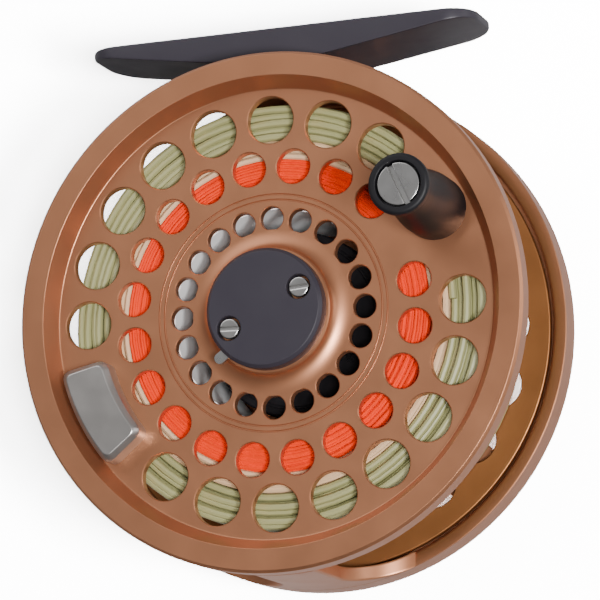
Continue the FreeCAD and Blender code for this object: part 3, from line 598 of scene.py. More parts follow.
def makeSpoolFace():
    values = spoolValues
    rim = nodeRadius("spool_face")
    lip, sleeveEnd = nodeDepths("spool_face")
    web = nodeDepths("spool_drum")[0]
    skirt = values["skirt"]
    segments = values["segments"]
    lipInner = rim - values["rimChamfer"] - values["rimFlat"]
    floor = lipInner - values["recessSlope"]
    webEdge = floor - values["floorLand"]
    plate = {"front": 0.0, "thickness": web, "chamfer": values["chamfer"], "segments": segments,
             "holeSegments": values["holeSegments"]}
    grooveLow = min(values["grooves"]) - values["grooveLand"]
    grooveHigh = max(values["grooves"]) + values["grooveLand"]
    pitch = 360 / values["holeCount"]
    beside = (values["handleAngle"], values["weightAngle"])
    outer = holeRing(*values["large"], avoid=beside, clear=pitch)
    outer += holeRing(*values["medium"], avoid=beside[:1], clear=pitch / 2)
    shape = bmesh.new()
    shape.from_mesh(plateMesh("outerWeb", outer, [], {**plate, "inner": grooveHigh, "outer": webEdge},
                              bronze))
    shape.from_mesh(plateMesh("innerWeb", holeRing(*values["small"]), [],
                              {**plate, "inner": values["flareRadius"], "outer": grooveLow}, bronze))
    middle = groove(min(values["grooves"]), 0.0) + groove(max(values["grooves"]), 0.0)
    spin(shape, roundCorners([(grooveLow, 0.0)] + middle + [(grooveHigh, 0.0)], 2), segments)
    spin(shape, [(grooveLow, web), (grooveHigh, web)], segments)
    hub = values["hubRadius"]
    height = values["hubHeight"]
    flare = values["flareRadius"]
    curve = []
    for step in range(11):
        turn = step * math.pi / 20
        curve.append((flare - (flare - hub) * math.sin(turn),
                      -height * values["flareShare"] * (1 - math.cos(turn))))
    inside = [(values["bushRadius"], sleeveEnd), (values["bushRadius"], -height),
              (hub - values["hubEdge"], -height), (hub, -height + values["hubEdge"])]
    spin(shape, [(flare, web), (values["sleeveRadius"], web), (values["sleeveRadius"], sleeveEnd)]
         + inside + list(reversed(curve)), segments)
    rimProfile = [(webEdge, 0.0), (floor, 0.0, 0.25), (lipInner, lip, 0.12),
                  (rim - values["rimChamfer"], lip, 0.08), (rim, lip + values["rimChamfer"], 0.08),
                  (rim, skirt, 0.15), (rim - values["skirtLand"], skirt, 0.15),
                  (rim - values["skirtLand"] - web + skirt, web, 0.2), (webEdge, web)]
    spin(shape, roundCorners(rimProfile), segments)
    settle(newPiece("spoolFace", shape, bronze), "spool", "bronze", "spool_face")


def makeRearFlange():
    values = spoolValues
    radius = nodeRadius("spool_rear_flange")
    front, back = nodeDepths("spool_rear_flange")
    bore = nodeRadius("spool_drum") - values["drumWall"]
    boreEdge = bore + values["boreLand"]
    webEdge = radius - values["flangeLand"]
    segments = values["segments"]
    holes = holeRing(*values["large"]) + holeRing(*values["medium"])
    shape = bmesh.new()
    shape.from_mesh(plateMesh("rearWeb", holes, [], {
        "front": front, "thickness": back - front, "chamfer": values["chamfer"], "segments": segments,
        "holeSegments": values["holeSegments"], "inner": boreEdge, "outer": webEdge}, bronzeShadedInner))
    spin(shape, roundCorners([(webEdge, front), (radius, front, 0.25), (radius, back, 0.25),
                              (webEdge, back)]), segments)
    spin(shape, [(boreEdge, front), (bore, front), (bore, back), (boreEdge, back)], segments)
    settle(newPiece("rearFlange", shape, bronzeShadedInner), "spool", "bronze", "spool_rear_flange")


def makeDrum():
    radius = nodeRadius("spool_drum")
    front, back = nodeDepths("spool_drum")
    shape = bmesh.new()
    bore = radius - spoolValues["drumWall"]
    profile = [(bore, front), (bore, back), (radius, back), (radius, front)]
    spin(shape, profile, spoolValues["drumSegments"], closed=True)
    settle(newPiece("arbourDrum", shape, drumAlloy), "spool", "aluminium", "spool_drum")


makeSpoolFace()
makeRearFlange()
makeDrum()
print("spool made")


# ---- wound line ----

def makeWoundLine():
    # one line wound to and fro in layers, drawn as a single path and given its thickness at the end
    tree, given, result = geometryTree("woundLine", {
        "Float": ("Inner Radius", "Line Radius", "Layer Step", "Front", "Width", "Wander", "Seed", "Height"),
        "Int": ("Layers", "Turns", "Points Per Turn", "Sides"), "Material": ("Material",)})
    perLayer = mathNode(tree, "MULTIPLY", given["Turns"], given["Points Per Turn"])
    count = mathNode(tree, "MULTIPLY", perLayer, given["Layers"])
    line = addNode(tree, "GeometryNodeMeshLine", {"Count": count})
    index = addNode(tree, "GeometryNodeInputIndex").outputs[0]
    turns = mathNode(tree, "DIVIDE", index, given["Points Per Turn"])
    layer = mathNode(tree, "DIVIDE", turns, given["Turns"])
    ramp = mathNode(tree, "DIVIDE", 0.6, given["Turns"])
    inLayer = mathNode(tree, "FRACT", layer)
    climb = mathNode(tree, "ADD", mathNode(tree, "SUBTRACT", inLayer, 1.0), ramp)
    climb = holdBetween(tree, mathNode(tree, "DIVIDE", climb, ramp), 0.0, 1.0)
    level = mathNode(tree, "ADD", mathNode(tree, "FLOOR", layer), climb)
    angle = mathNode(tree, "MULTIPLY", turns, 2 * math.pi)
    place = addNode(tree, "ShaderNodeCombineXYZ", {
        "X": mathNode(tree, "MULTIPLY", mathNode(tree, "COSINE", angle), 0.9),
        "Y": mathNode(tree, "MULTIPLY", mathNode(tree, "SINE", angle), 0.9),
        "Z": mathNode(tree, "MULTIPLY", turns, 0.83)})
    drifts = []
    for seed in (given["Seed"], mathNode(tree, "ADD", given["Seed"], 7.3)):
        noise = addNode(tree, "ShaderNodeTexNoise",
                        {"Vector": place.outputs[0], "W": seed, "Scale": 1.0, "Detail": 1.0},
                        noise_dimensions="4D")
        centred = mathNode(tree, "SUBTRACT", noise.outputs[0], 0.5)
        drifts.append(mathNode(tree, "MULTIPLY", centred, given["Wander"]))
    sway, lean = drifts
    seat = mathNode(tree, "ADD", given["Inner Radius"], given["Line Radius"])
    radius = mathNode(tree, "MULTIPLY_ADD", level, given["Layer Step"], seat)
    top = mathNode(tree, "MULTIPLY_ADD", mathNode(tree, "SUBTRACT", given["Layers"], 1.0),
                   given["Layer Step"], seat)
    radius = holdBetween(tree, mathNode(tree, "ADD", radius, sway), seat, top)
    room = mathNode(tree, "MULTIPLY_ADD", given["Line Radius"], -2.0, given["Width"])
    travel = mathNode(tree, "MULTIPLY", mathNode(tree, "PINGPONG", layer, 1.0), room)
    travel = holdBetween(tree, mathNode(tree, "ADD", travel, lean), 0.0, room)
    depth = mathNode(tree, "ADD", mathNode(tree, "ADD", given["Front"], given["Line Radius"]), travel)
    spot = addNode(tree, "ShaderNodeCombineXYZ", {
        "X": mathNode(tree, "MULTIPLY", mathNode(tree, "COSINE", angle), radius), "Y": depth,
        "Z": mathNode(tree, "MULTIPLY_ADD", mathNode(tree, "SINE", angle), radius, given["Height"])})
    bent = addNode(tree, "GeometryNodeSetPosition",
                   {"Geometry": line.outputs[0], "Position": spot.outputs[0]})
    curve = addNode(tree, "GeometryNodeMeshToCurve", {"Mesh": bent.outputs[0]})
    path = addNode(tree, "GeometryNodeSplineParameter")
    marked = addNode(tree, "GeometryNodeStoreNamedAttribute",
                     {"Geometry": curve.outputs[0], "Name": "along", "Value": path.outputs["Length"]},
                     data_type="FLOAT", domain="POINT")
    outline = addNode(tree, "GeometryNodeCurvePrimitiveCircle",
                     {"Resolution": given["Sides"], "Radius": given["Line Radius"]})
    share = addNode(tree, "GeometryNodeSplineParameter")
    ringMark = addNode(tree, "GeometryNodeStoreNamedAttribute",
                       {"Geometry": outline.outputs[0], "Name": "around", "Value": share.outputs["Factor"]},
                       data_type="FLOAT", domain="POINT")
    tube = addNode(tree, "GeometryNodeCurveToMesh",
                   {"Curve": marked.outputs[0], "Profile Curve": ringMark.outputs[0], "Fill Caps": True})
    endTree(tree, tube.outputs[0], given["Material"], result)
    return tree


woundLine = makeWoundLine()

flyValues = {"inner": 25.9, "lineRadius": 0.6, "layers": 5, "layerStep": 1.05, "turns": 18,
             "points": 72, "sides": 10, "wander": 1.1, "seed": 3.0}
runningValues = {"inner": 23.0, "lineRadius": 0.5, "layers": 3, "layerStep": 0.95, "turns": 19,
                 "points": 64, "sides": 7, "wander": 1.2, "seed": 11.0}
backingValues = {"inner": 17.5, "lineRadius": 0.23, "layers": 13, "layerStep": 0.42, "turns": 5,
                 "points": 64, "sides": 6, "wander": 0.85, "seed": 21.0, "backSeed": 29.0,
                 "width": 2.3, "coreInset": 1.4}


def windLine(shape, values, front, width, material):
    shape.from_mesh(growMesh("windStart", bpy.data.meshes.new("windStart"), woundLine, {
        "Inner Radius": values["inner"] * mm, "Line Radius": values["lineRadius"] * mm,
        "Layers": values["layers"], "Layer Step": values["layerStep"] * mm, "Turns": values["turns"],
        "Points Per Turn": values["points"], "Sides": values["sides"], "Front": faceY + front * mm,
        "Width": width * mm, "Wander": values["wander"] * mm, "Seed": values["seed"], "Height": axisZ,
        "Material": material}))


def makeWindings():
    front, back = nodeDepths("fly_line")
    for name, values, material, node in (("flyLineCoil", flyValues, oliveLine, "fly_line"),
                                         ("runningLineCoil", runningValues, tanLine, "running_line")):
        shape = bmesh.new()
        windLine(shape, values, front, back - front, material)
        settle(newPiece(name, shape, material, close=False), "spool", node, node)
    # the backing's sides are wound; between them, where other line covers it, it is a plain core
    shape = bmesh.new()
    width = backingValues["width"]
    windLine(shape, backingValues, front, width, orangeLine)
    windLine(shape, {**backingValues, "seed": backingValues["backSeed"]}, back - width, width, orangeLine)
    inner = backingValues["inner"]
    outer = runningValues["inner"]
    start = front + backingValues["coreInset"]
    end = back - backingValues["coreInset"]
    core = bmesh.new()
    spin(core, [(inner, start), (outer, start), (outer, end), (inner, end)], 96, closed=True)
    closeUp(core)
    coreMesh = bpy.data.meshes.new("backingCore")
    core.to_mesh(coreMesh)
    core.free()
    shape.from_mesh(coreMesh)
    settle(newPiece("backingCoil", shape, orangeLine, close=False), "spool", "backing", "backing_line")


makeWindings()
print("line wound")


# ---- cap, screws and latch ----

capValues = {"radius": 8.8, "chamfer": 0.5, "screwOffset": 5.95, "screwRecess": 1.8, "screwHead": 1.45,
             "screwSink": 0.2, "slotAngles": (86.0, 92.0), "segments": 144, "land": 0.3, "middle": 1.0,
             "holeChamfer": 0.12, "holeSegments": 40, "headHeight": 0.7, "slotWidth": 0.4,
             "slotDepth": 0.35, "headEdge": 0.22, "shank": 0.8}


def slottedHead(shape, centre, radius, top, height, slotWidth, slotDepth, angle, edge, facing=1):
    # two D-shaped halves on a disc; facing 1 looks to the handle's side, -1 to the back
    turn = math.radians(angle)
    floor = top + facing * slotDepth
    base = top + facing * height
    spin(shape, [(0.001, floor), (radius, floor), (radius, base), (0.001, base)], 48, centre)
    for side in (-1, 1):
        loops = []
        for inset, depth in ((0.0, floor), (0.0, top + facing * edge),
                             (edge * 0.3, top + facing * edge * 0.3), (edge, top)):
            reach = radius - inset
            gap = slotWidth / 2 + inset
            limit = math.acos(gap / reach)
            loop = []
            for step in range(25):
                around = -limit + 2 * limit * step / 24
                across = side * reach * math.cos(around)
                along = reach * math.sin(around)
                x = centre[0] + across * math.cos(turn) + along * math.sin(turn)
                z = centre[1] - across * math.sin(turn) + along * math.cos(turn)
                loop.append(at(x, depth, z))
            loops.append(loop)
        skin(shape, loops)


def makeCap():
    values = capValues
    top, bottom = nodeDepths("latch_cap")
    handle = spoolValues["handleAngle"]
    holes = [(handle + turn, values["screwOffset"], values["screwRecess"]) for turn in (0, 180)]
    radius = values["radius"]
    edge = radius - values["chamfer"]
    land = edge - values["land"]
    shape = bmesh.new()
    shape.from_mesh(plateMesh("capTop", holes, [], {
        "front": top, "thickness": bottom - top, "chamfer": values["holeChamfer"],
        "segments": values["segments"], "holeSegments": values["holeSegments"],
        "inner": values["middle"], "outer": land}, blackAlloy))
    spin(shape, roundCorners([(land, top), (edge, top, 0.12), (radius, top + values["chamfer"], 0.2),
                              (radius, bottom), (land, bottom)]), values["segments"])
    for depth in (top, bottom):
        spin(shape, [(0.002, depth), (values["middle"], depth)], values["segments"])
    settle(newPiece("latchCap", shape, blackAlloy), "spool", "black", "latch_cap")


def makeCapScrews():
    values = capValues
    shape = bmesh.new()
    top = nodeDepths("latch_cap")[0] + values["screwSink"]
    for turn, slotAngle in zip((0, 180), values["slotAngles"]):
        centre = clockCentre(spoolValues["handleAngle"] + turn, values["screwOffset"])
        slottedHead(shape, centre, values["screwHead"], top, values["headHeight"], values["slotWidth"],
                    values["slotDepth"], slotAngle, values["headEdge"])
        spin(shape, [(values["shank"], top + values["headHeight"]), (values["shank"], 0.0)], 24, centre)
    settle(newPiece("capScrews", shape, turnedSteel), "spool", "steel", "cap_screws")


makeCap()
makeCapScrews()
print("cap made")


# ---- handle ----

handleValues = {"angle": 64.2, "circle": 28.5, "tipRadius": 4.4, "waistRadius": 3.5, "baseRadius": 4.65,
                "pocketRadius": 3.3, "postRadius": 2.0, "headRadius": 3.02, "slotWidth": 0.75,
                "slotDepth": 0.7, "slotAngle": 157.0, "segments": 96, "headHeight": 1.5, "headEdge": 0.14,
                "pocketDepth": 1.85, "collar": 1.9, "boreGap": 0.05, "swellStart": 1.8,
                "swellEnd": 5.2, "swellSteps": 14, "shank": 1.5, "washer": 0.6, "washerRadius": 3.6}


handleCentre = clockCentre(handleValues["angle"], handleValues["circle"])


def makeKnob():
    values = handleValues
    tip, base = nodeDepths("handle_knob")
    pocket = values["pocketRadius"]
    floor = tip + values["pocketDepth"]
    collar = tip + values["collar"]
    waist = values["waistRadius"]
    bore = values["postRadius"] + values["boreGap"]
    body = [(values["tipRadius"], tip + 1.35, 0.45), (waist, collar + 0.25, 0.5), (waist, collar + 1.3, 1.0)]
    steps = values["swellSteps"]
    start = collar + values["swellStart"]
    end = base - values["swellEnd"]
    for step in range(steps + 1):
        share = step / steps
        swell = share * share * (3 - 2 * share)
        body.append((waist + 0.05 + (values["baseRadius"] - waist - 0.05) * swell,
                     start + (end - start) * share))
    profile = [(bore, base), (bore, floor), (pocket, floor), (pocket, tip, 0.12),
               (values["tipRadius"], tip, 0.55)] + body
    profile += [(values["baseRadius"], base, 1.9), (values["baseRadius"] - 2.2, base), (bore, base)]
    shape = bmesh.new()
    spin(shape, roundCorners(profile, 6), values["segments"], handleCentre)
    settle(newPiece("handleKnob", shape, knobBlack), "handle_knob", "black_plastic", "handle_knob")


def makePost():
    values = handleValues
    top, end = nodeDepths("handle_post")
    shape = bmesh.new()
    slottedHead(shape, handleCentre, values["headRadius"], top, values["headHeight"], values["slotWidth"],
                values["slotDepth"], values["slotAngle"], values["headEdge"])
    neck = top + values["headHeight"]
    post = values["postRadius"]
    shank = values["shank"]
    foot = -values["washer"]
    spin(shape, [(0.001, neck), (post, neck), (post, foot), (shank, foot), (shank, end), (0.001, end)],
         48, handleCentre)
    settle(newPiece("handlePost", shape, turnedSteel), "spool", "steel", "handle_post")


def makeWasher():
    shape = bmesh.new()
    bore = handleValues["shank"]
    radius = handleValues["washerRadius"]
    top = -handleValues["washer"]
    profile = [(bore, 0.0), (radius, 0.0, 0.1), (radius, top, 0.15), (bore, top), (bore, 0.0)]
    spin(shape, roundCorners(profile), 72, handleCentre)
    settle(newPiece("handleWasher", shape, knobBlack), "spool", "black_plastic", "handle_washer")


makeKnob()
makePost()
makeWasher()
print("handle made")


# ---- counterweight ----

weightValues = {"angle": 244.2, "halfAngle": 14.0, "inner": 25.3, "outer": 32.5, "corner": 1.5,
                "bevel": 0.75}


def sectorLoop(values, inset, depth):
    inner = values["inner"] + inset
    outer = values["outer"] - inset
    half = values["halfAngle"] - math.degrees(inset / ((inner + outer) / 2))
    corner = max(values["corner"] - inset * 0.5, 0.3)
    polar = []
    for radius, first, side in ((outer, -1, -1), (inner, 1, 1)):
        limit = half - math.degrees(corner / radius)
        for step in range(13):
            polar.append((first * limit * (1 - 2 * step / 12), radius))
        other = inner if side < 0 else outer
        rounded = bentCorner((limit, radius), (half, radius), (half, radius + side * corner))[1:]
        rounded += bentCorner((half, other - side * corner), (half, other),
                              (half - math.degrees(corner / other), other))[:-1]
        polar += [(-first * angle, reach) for angle, reach in rounded]
    return [clock(values["angle"] + angle, radius, depth) for angle, radius in polar]


def makeWeight():
    values = weightValues
    top = nodeDepths("counterweight")[0]
    bevel = values["bevel"]
    steps = [(0.0, 0.0), (0.0, top + bevel + 0.15), (0.04, top + bevel), (bevel - 0.12, top + 0.14),
             (bevel - 0.02, top + 0.04), (bevel + 0.12, top)]
    shape = bmesh.new()
    skin(shape, [sectorLoop(values, inset, depth) for inset, depth in steps])
    settle(newPiece("weightBlock", shape, weightSteel), "spool", "weight_steel", "counterweight")


makeWeight()
print("counterweight made")


# ---- frame ----

frameValues = {"segments": 288, "ringWall": 2.1, "ledge": 3.0, "spokeWidth": 9.0, "hubRadius": 16.0,
               "windowRound": 2.2, "windowEdge": 0.3, "rimChamfer": 0.4, "ringDepth": 5.3, "plate": 2.2,
               "topHalf": 7.0, "bottomHalf": 4.6, "flare": 9.0, "barFront": 1.0, "barEdge": 0.35,
               "padHalf": 7.0, "padRound": 2.0, "studRadius": 2.4, "pinCircle": 9.0, "pinHole": 1.05,
               "screwCircle": 12.7, "screwHole": 1.45}


def windowOutline(middle, inner, outer, half, corner):
    # one window between two spokes, as (x, z) points that run clockwise
    def spot(angle, radius):
        turn = math.radians(angle)
        return radius * math.sin(turn), radius * math.cos(turn)

    def toward(start, end, length):
        line = Vector(end) - Vector(start)
        return tuple(Vector(start) + line.normalized() * length)

    outerHalf = 45 - math.degrees(math.asin(half / outer))
    innerHalf = 45 - math.degrees(math.asin(half / inner))
    corners = [spot(middle - outerHalf, outer), spot(middle + outerHalf, outer),
               spot(middle + innerHalf, inner), spot(middle - innerHalf, inner)]
    outerCut = math.degrees(corner / outer)
    innerCut = math.degrees(corner / inner)
    points = []
    for step in range(25):
        angle = middle - (outerHalf - outerCut) * (1 - step / 12)
        points.append(spot(angle, outer))
    points += bentCorner(points[-1], corners[1], toward(corners[1], corners[2], corner))[1:]
    points += bentCorner(toward(corners[2], corners[1], corner), corners[2],
                         spot(middle + innerHalf - innerCut, inner))
    for step in range(1, 12):
        points.append(spot(middle + (innerHalf - innerCut) * (1 - step / 6), inner))
    points += bentCorner(spot(middle - innerHalf + innerCut, inner), corners[3],
                         toward(corners[3], corners[0], corner))
    points += bentCorner(toward(corners[0], corners[3], corner), corners[0], points[0])[:-1]
    return points


def barSection(halfWidth, depth, side, outer, wall, edge):
    # closed outline of a curved bar at one depth: outer arc, rounded corner, inner arc, rounded corner
    points = []
    for radius, first, lift in ((outer, -1, -1), (outer - wall, 1, 1)):
        reach = halfWidth - edge
        for step in range(17):
            across = first * reach * (1 - 2 * step / 16)
            points.append((across, math.sqrt(radius * radius - across * across)))
        across = -first * halfWidth
        near = math.sqrt(radius * radius - halfWidth * halfWidth) + lift * edge
        corner = bentCorner(points[-1], (across, near - lift * edge), (across, near), 4)[1:]
        points += corner
        other = outer - wall if lift < 0 else outer
        far = math.sqrt(other * other - halfWidth * halfWidth) - lift * edge
        start = math.sqrt(other * other - reach * reach)
        points += bentCorner((across, far), (across, far + lift * edge), (-first * reach, start), 4)[:-1]
    return [at(across, depth, side * up) for across, up in points]


def addBar(shape, halfWidth, side, outer, ringFront):
    values = frameValues
    wall = values["ringWall"] - 0.03
    edge = values["barEdge"]
    rows = [(halfWidth - 0.2, values["barFront"] + 0.001), (halfWidth - 0.06, values["barFront"] + 0.06),
            (halfWidth, values["barFront"] + 0.2)]
    straight = ringFront - values["flare"]
    rows += [(halfWidth, depth) for depth in (straight * 0.4, straight * 0.8)]
    for step in range(15):
        turn = math.pi / 2 * step / 14
        rows.append((halfWidth + values["flare"] * (1 - math.cos(turn)),
                     straight + values["flare"] * math.sin(turn)))
    rows.append((halfWidth + values["flare"] + 0.01, ringFront + 1.2))
    skin(shape, [barSection(half, depth, side, outer - 0.015, wall, edge) for half, depth in rows])


def addPad(shape, outer):
    values = frameValues
    low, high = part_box("reel_foot")
    front = (low[1] - faceY) / mm
    back = (high[1] - faceY) / mm
    top = (low[2] - axisZ) / mm
    half = values["padHalf"]
    loops = []
    for inset, height in ((0.0, outer - 1.6), (0.0, top - 0.25), (0.08, top - 0.08), (0.25, top)):
        corner = values["padRound"]
        loop = []
        for sideX, sideY, start in ((1, 1, 0), (-1, 1, 90), (-1, -1, 180), (1, -1, 270)):
            for step in range(7):
                turn = math.radians(start + 15 * step)
                x = sideX * (half - corner) + (corner - inset) * math.cos(turn)
                y = sideY * ((back - front) / 2 - corner) + (corner - inset) * math.sin(turn)
                loop.append(at(x, (front + back) / 2 + y, height))
        loops.append(loop)
    skin(shape, loops)


def makeFrameShell():
    values = frameValues
    outer = nodeRadius("frame")
    back = (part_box("drag_housing")[1][1] - faceY) / mm + values["plate"]
    front = back - values["plate"]
    ringFront = back - values["ringDepth"]
    inner = outer - values["ringWall"]
    ledge = inner - values["ledge"]
    segments = values["segments"]
    half = values["spokeWidth"] / 2
    windows = [windowOutline(90 * number, values["hubRadius"], ledge, half, values["windowRound"])
               for number in range(4)]
    edge = values["windowEdge"]
    holes = [(120 * number, values["pinCircle"], values["pinHole"]) for number in range(3)]
    holes += [(120 * number + 60, values["screwCircle"], values["screwHole"]) for number in range(3)]
    shape = bmesh.new()
    shape.from_mesh(plateMesh("backPlate", holes, windows, {
        "front": front, "thickness": values["plate"], "chamfer": 0.12, "segments": segments,
        "holeSegments": 32, "inner": values["studRadius"], "outer": ledge + 1.0}, bronze))
    spin(shape, [(values["studRadius"], front), (values["studRadius"], back)], segments)
    nose = [(inner, ringFront + 1.1)]
    for step in range(1, 9):
        turn = math.pi / 2 * step / 8
        nose.append((inner + values["ringWall"] * (1 - math.cos(turn)) * 0.93,
                     ringFront + 1.1 - 1.1 * math.sin(turn)))
    ring = [(ledge + 1.0, front), (inner, front, 0.3)] + nose + [
        (outer, ringFront + 0.1), (outer, back - values["rimChamfer"], 0.12),
        (outer - values["rimChamfer"], back, 0.12), (ledge + 1.0, back)]
    spin(shape, roundCorners(ring), segments)
    addBar(shape, values["topHalf"], 1, outer, ringFront)
    addBar(shape, values["bottomHalf"], -1, outer, ringFront)
    addPad(shape, outer)
    settle(newPiece("frameShell", shape, bronze), "frame", "bronze", "frame")


housingValues = {"nose": 6.2, "wall": 2.2, "floor": 1.0, "grooveOuter": 1.1, "grooveInner": 1.6,
                 "grooveSlope": 0.1, "grooveDepth": 0.15, "segments": 144}


def makeHousing():
    values = housingValues
    radius = nodeRadius("drag_housing")
    front, back = nodeDepths("drag_housing")
    shape = bmesh.new()
    nose = values["nose"]
    floor = front + values["floor"]
    low = front + values["grooveDepth"]
    near = radius - values["grooveOuter"]
    far = radius - values["grooveInner"]
    slope = values["grooveSlope"]
    wall = radius - values["wall"]
    profile = [(nose, floor), (nose, front, 0.15), (far, front), (far + slope, low), (near - slope, low),
               (near, front), (radius, front, 0.35), (radius, back), (wall, back), (wall, floor),
               (nose, floor)]
    spin(shape, roundCorners(profile), values["segments"])
    settle(newPiece("dragHousing", shape, housingBlack), "frame", "black", "drag_housing")


makeFrameShell()
makeHousing()
print("frame made")


# ---- reel foot ----

footValues = {"corner": 4.6, "padHalf": 7.0, "tip": 1.25, "topEdge": 0.35, "sideEdge": 0.3}


def footLoop(inset, heightOf):
    low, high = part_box("reel_foot")
    halfLength = (high[0] - low[0]) / 2 / mm
    halfWidth = (high[1] - low[1]) / 2 / mm
    middle = (high[1] + low[1]) / 2
    corner = footValues["corner"]
    spots = []
    for step in range(9):
        turn = math.pi / 2 * step / 8
        spots.append((-(halfLength - corner) - (corner - inset) * math.cos(turn),
                      halfWidth - corner + (corner - inset) * math.sin(turn)))
    pad = footValues["padHalf"]
    spots += [(across, halfWidth - inset) for across in (-20, -14, -10, -pad, -3, 3, pad, 10, 14, 20)]
    spots += [(-across, up) for across, up in reversed(spots[:9])]
    near = [(across * mm, middle - up * mm, heightOf(across)) for across, up in spots]
    far = [(across * mm, middle + up * mm, heightOf(across)) for across, up in reversed(spots)]
    return near + far


def makeFoot():
    low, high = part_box("reel_foot")
    seat = high[2]
    thick = (high[2] - low[2]) / mm
    half = (high[0] - low[0]) / 2 / mm
    pad = footValues["padHalf"]
    tip = footValues["tip"]
    top = footValues["topEdge"]
    side = footValues["sideEdge"]

    def under(across, lift=0.0):
        share = max(abs(across) - pad, 0.0) / (half - pad)
        return seat - (thick + (tip - thick) * share - lift) * mm

    shape = bmesh.new()
    sides = [(top, lambda x: seat), (top * 0.3, lambda x: seat - top * 0.3 * mm),
             (0.0, lambda x: seat - top * mm), (0.0, lambda x: under(x, side)),
             (side * 0.3, lambda x: under(x, side * 0.3)), (side, under)]
    loops = [footLoop(inset, heightOf) for inset, heightOf in sides]
    skin(shape, loops, False, False)
    for loop in (loops[0], loops[-1]):
        count = len(loop)
        for step in range(count // 2 - 1):
            quad = (loop[step], loop[step + 1], loop[count - 2 - step], loop[count - 1 - step])
            shape.faces.new([shape.verts.new(point) for point in quad])
    piece = newPiece("footBlade", shape, blackAlloy, math.radians(24))
    settle(piece, "frame", "black", "reel_foot")


makeFoot()
print("foot made")


# ---- drag knob ----

knobValues = {"scallops": 12, "scallopDepth": 0.95, "edge": 0.7, "dish": 0.5, "segments": 288,
              "headRadius": 3.5, "camRadius": 7.2, "boreRadius": 2.05, "web": 1.1}


def makeDragKnob():
    values = knobValues
    front, back = nodeDepths("drag_knob")
    radius = max((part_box("drag_knob")[1][2] - axisZ) / mm, nodeRadius("drag_knob"))

    def outline(size, depth, share):
        loop = []
        for step in range(values["segments"]):
            turn = 2 * math.pi * step / values["segments"]
            wave = max(0.0, math.cos(values["scallops"] * turn) - 0.25) / 0.75
            reach = size - share * values["scallopDepth"] * wave
            loop.append(at(reach * math.sin(turn), depth, reach * math.cos(turn)))
        return loop

    edge = values["edge"]
    dish = values["dish"]
    head = values["headRadius"]
    bore = values["boreRadius"]
    thickness = values["web"]
    web = back - thickness
    rows = [(values["camRadius"], front, 0), (radius - edge, front, 1), (radius - 0.2, front + 0.15, 1),
            (radius, front + 0.4, 1), (radius, back - edge - 0.2, 1), (radius - 0.1, back - edge * 0.6, 1),
            (radius - edge * 0.4, back - edge * 0.2, 1), (radius - edge, back, 1),
            (radius - 2.6, back, 0), (radius - 2.8, back - dish * 0.6, 0), (radius - 3.3, back - dish, 0),
            (head + 1.0, back - dish, 0), (head + 0.7, back, 0), (head + 0.1, back, 0),
            (head, back - 0.1, 0), (head, web, 0), (bore, web, 0), (bore, web - thickness, 0),
            (values["camRadius"], web - thickness, 0)]
    shape = bmesh.new()
    loops = [outline(size, depth, share) for size, depth, share in rows]
    skin(shape, loops + loops[:1], False, False)
    settle(newPiece("dragKnob", shape, bronze), "drag_knob", "bronze", "drag_knob")


retainerValues = {"headRadius": 3.3, "headHeight": 1.0, "slotWidth": 0.8, "slotDepth": 0.5,
                  "slotAngle": 30.0, "headEdge": 0.15, "thread": 1.2, "threadLength": 3.0, "shank": 2.0}


def makeRetainer():
    values = retainerValues
    start, top = nodeDepths("retaining_screw")
    thread = values["thread"]
    shank = values["shank"]
    step = start + values["threadLength"]
    neck = top - values["headHeight"]
    shape = bmesh.new()
    slottedHead(shape, (0.0, 0.0), values["headRadius"], top, values["headHeight"], values["slotWidth"],
                values["slotDepth"], values["slotAngle"], values["headEdge"], -1)
    spin(shape, [(0.001, start), (thread, start), (thread, step), (shank, step), (shank, neck),
                 (0.001, neck)], 48)
    settle(newPiece("retainingScrew", shape, turnedSteel), "frame", "steel", "retaining_screw")


makeDragKnob()
makeRetainer()
print("drag knob made")


# ---- finishes of the CAD nodes that stay ----

nodeFinishes = {
    turnedSteel: ("foot_screws", "spindle", "spindle_nut", "housing_screws", "pawl_post", "pawl_spring",
                  "hub_bearings", "click_pawl", "spring_washers", "thrust_ring", "thrust_pins",
                  "counterweight_screws", "latch_spring", "latch_lever"),
    drumAlloy: ("drive_hub", "pressure_plate"),
    bushBronze: ("spool_bushes", "click_gear"),
    carbonDisc: ("drag_disc",),
}
for material, names in nodeFinishes.items():
    for name in names:
        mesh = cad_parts[name].data
        mesh.materials.clear()
        mesh.materials.append(material)
print("CAD nodes finished")


# ---- stage, light and camera ----

stageValues = {"size": 1.6, "gap": 0.012, "colour": (0.42, 0.42, 0.425),
               "seenColour": (9.0, 9.0, 9.0)}


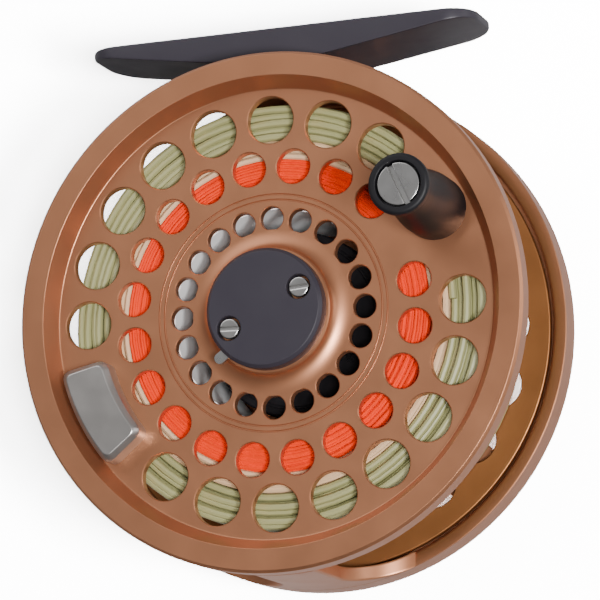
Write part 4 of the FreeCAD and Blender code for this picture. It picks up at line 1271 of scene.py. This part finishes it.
def makeBackdrop():
    # the pale surface behind the reel, seen only from the reel's side
    half = stageValues["size"] / 2
    behind = cadBox[1][1] + stageValues["gap"]
    mesh = bpy.data.meshes.new("backdrop")
    mesh.from_pydata([(-half, behind, axisZ - half), (half, behind, axisZ - half),
                      (half, behind, axisZ + half), (-half, behind, axisZ + half)], [], [(0, 1, 2, 3)])
    material = bpy.data.materials.new("backdropWhite")
    tree = emptyTree(material)
    # overexposed to the eye, but of an ordinary white where it lights the reel
    ray = addNode(tree, "ShaderNodeLightPath")
    plain = addNode(tree, "ShaderNodeBsdfDiffuse", {"Color": colour(*stageValues["colour"])})
    bright = addNode(tree, "ShaderNodeBsdfDiffuse", {"Color": colour(*stageValues["seenColour"])})
    seen = addNode(tree, "ShaderNodeMixShader",
                   {0: ray.outputs["Is Camera Ray"], 1: plain.outputs[0], 2: bright.outputs[0]})
    clear = addNode(tree, "ShaderNodeBsdfTransparent")
    side = addNode(tree, "ShaderNodeNewGeometry")
    mix = addNode(tree, "ShaderNodeMixShader",
                  {0: side.outputs["Backfacing"], 1: seen.outputs[0], 2: clear.outputs[0]})
    addNode(tree, "ShaderNodeOutputMaterial", {"Surface": mix.outputs[0]})
    mesh.materials.append(material)
    addObject("backdrop", mesh)


lightValues = {
    "key": {"place": (0.42, -0.66, -0.19), "size": 0.14, "power": 7.2},
    "front": {"place": (0.28, -0.72, -0.165), "size": 0.1, "power": 3.5},
    "top": {"place": (-0.35, -0.45, 0.55), "size": 0.7, "power": 2.4},
    "side": {"place": (0.75, -0.1, 0.15), "size": 0.5, "power": 1.5},
}
worldValues = {"low": (0.12, 0.115, 0.115), "high": (1.0, 1.0, 1.02), "strength": 0.30}


def makeLights():
    target = Vector((0.0, faceY, axisZ))
    for name, values in lightValues.items():
        lamp = bpy.data.lights.new(name, "AREA")
        lamp.shape = "DISK"
        lamp.size = values["size"]
        lamp.energy = values["power"]
        light = addObject(name, lamp)
        light.location = target + Vector(values["place"])
        light.rotation_euler = (target - light.location).to_track_quat("-Z", "Y").to_euler()
    world = bpy.data.worlds.new("studio")
    bpy.context.scene.world = world
    tree = emptyTree(world)
    place = addNode(tree, "ShaderNodeTexCoord")
    split = addNode(tree, "ShaderNodeSeparateXYZ", {"Vector": place.outputs["Generated"]})
    share = addNode(tree, "ShaderNodeMapRange",
                    {"Value": split.outputs["Z"], "From Min": -0.6, "From Max": 0.5})
    sky = mixColour(tree, share.outputs[0], colour(*worldValues["low"]), colour(*worldValues["high"]))
    shine = addNode(tree, "ShaderNodeBackground", {"Color": sky, "Strength": worldValues["strength"]})
    addNode(tree, "ShaderNodeOutputWorld", {"Surface": shine.outputs[0]})


cameraValues = {"place": (0.1783, -0.5406, -0.1059), "forward": (-0.3012, 0.9353, 0.1857),
                "up": (0.0898, -0.1661, 0.9820), "lens": 240.3, "sensor": 36.0}


def makeCamera():
    values = cameraValues
    lens = bpy.data.cameras.new("camera")
    lens.lens = values["lens"]
    lens.sensor_width = values["sensor"]
    lens.clip_start = 0.01
    lens.clip_end = 20.0
    camera = addObject("camera", lens)
    back = -Vector(values["forward"]).normalized()
    right = Vector(values["up"]).cross(back).normalized()
    up = back.cross(right)
    turn = Matrix((right, up, back)).transposed()
    place = Vector((0.0, faceY, axisZ)) + Vector(values["place"])
    camera.matrix_world = Matrix.Translation(place) @ turn.to_4x4()
    bpy.context.scene.camera = camera


makeBackdrop()
makeLights()
makeCamera()
print("stage set")
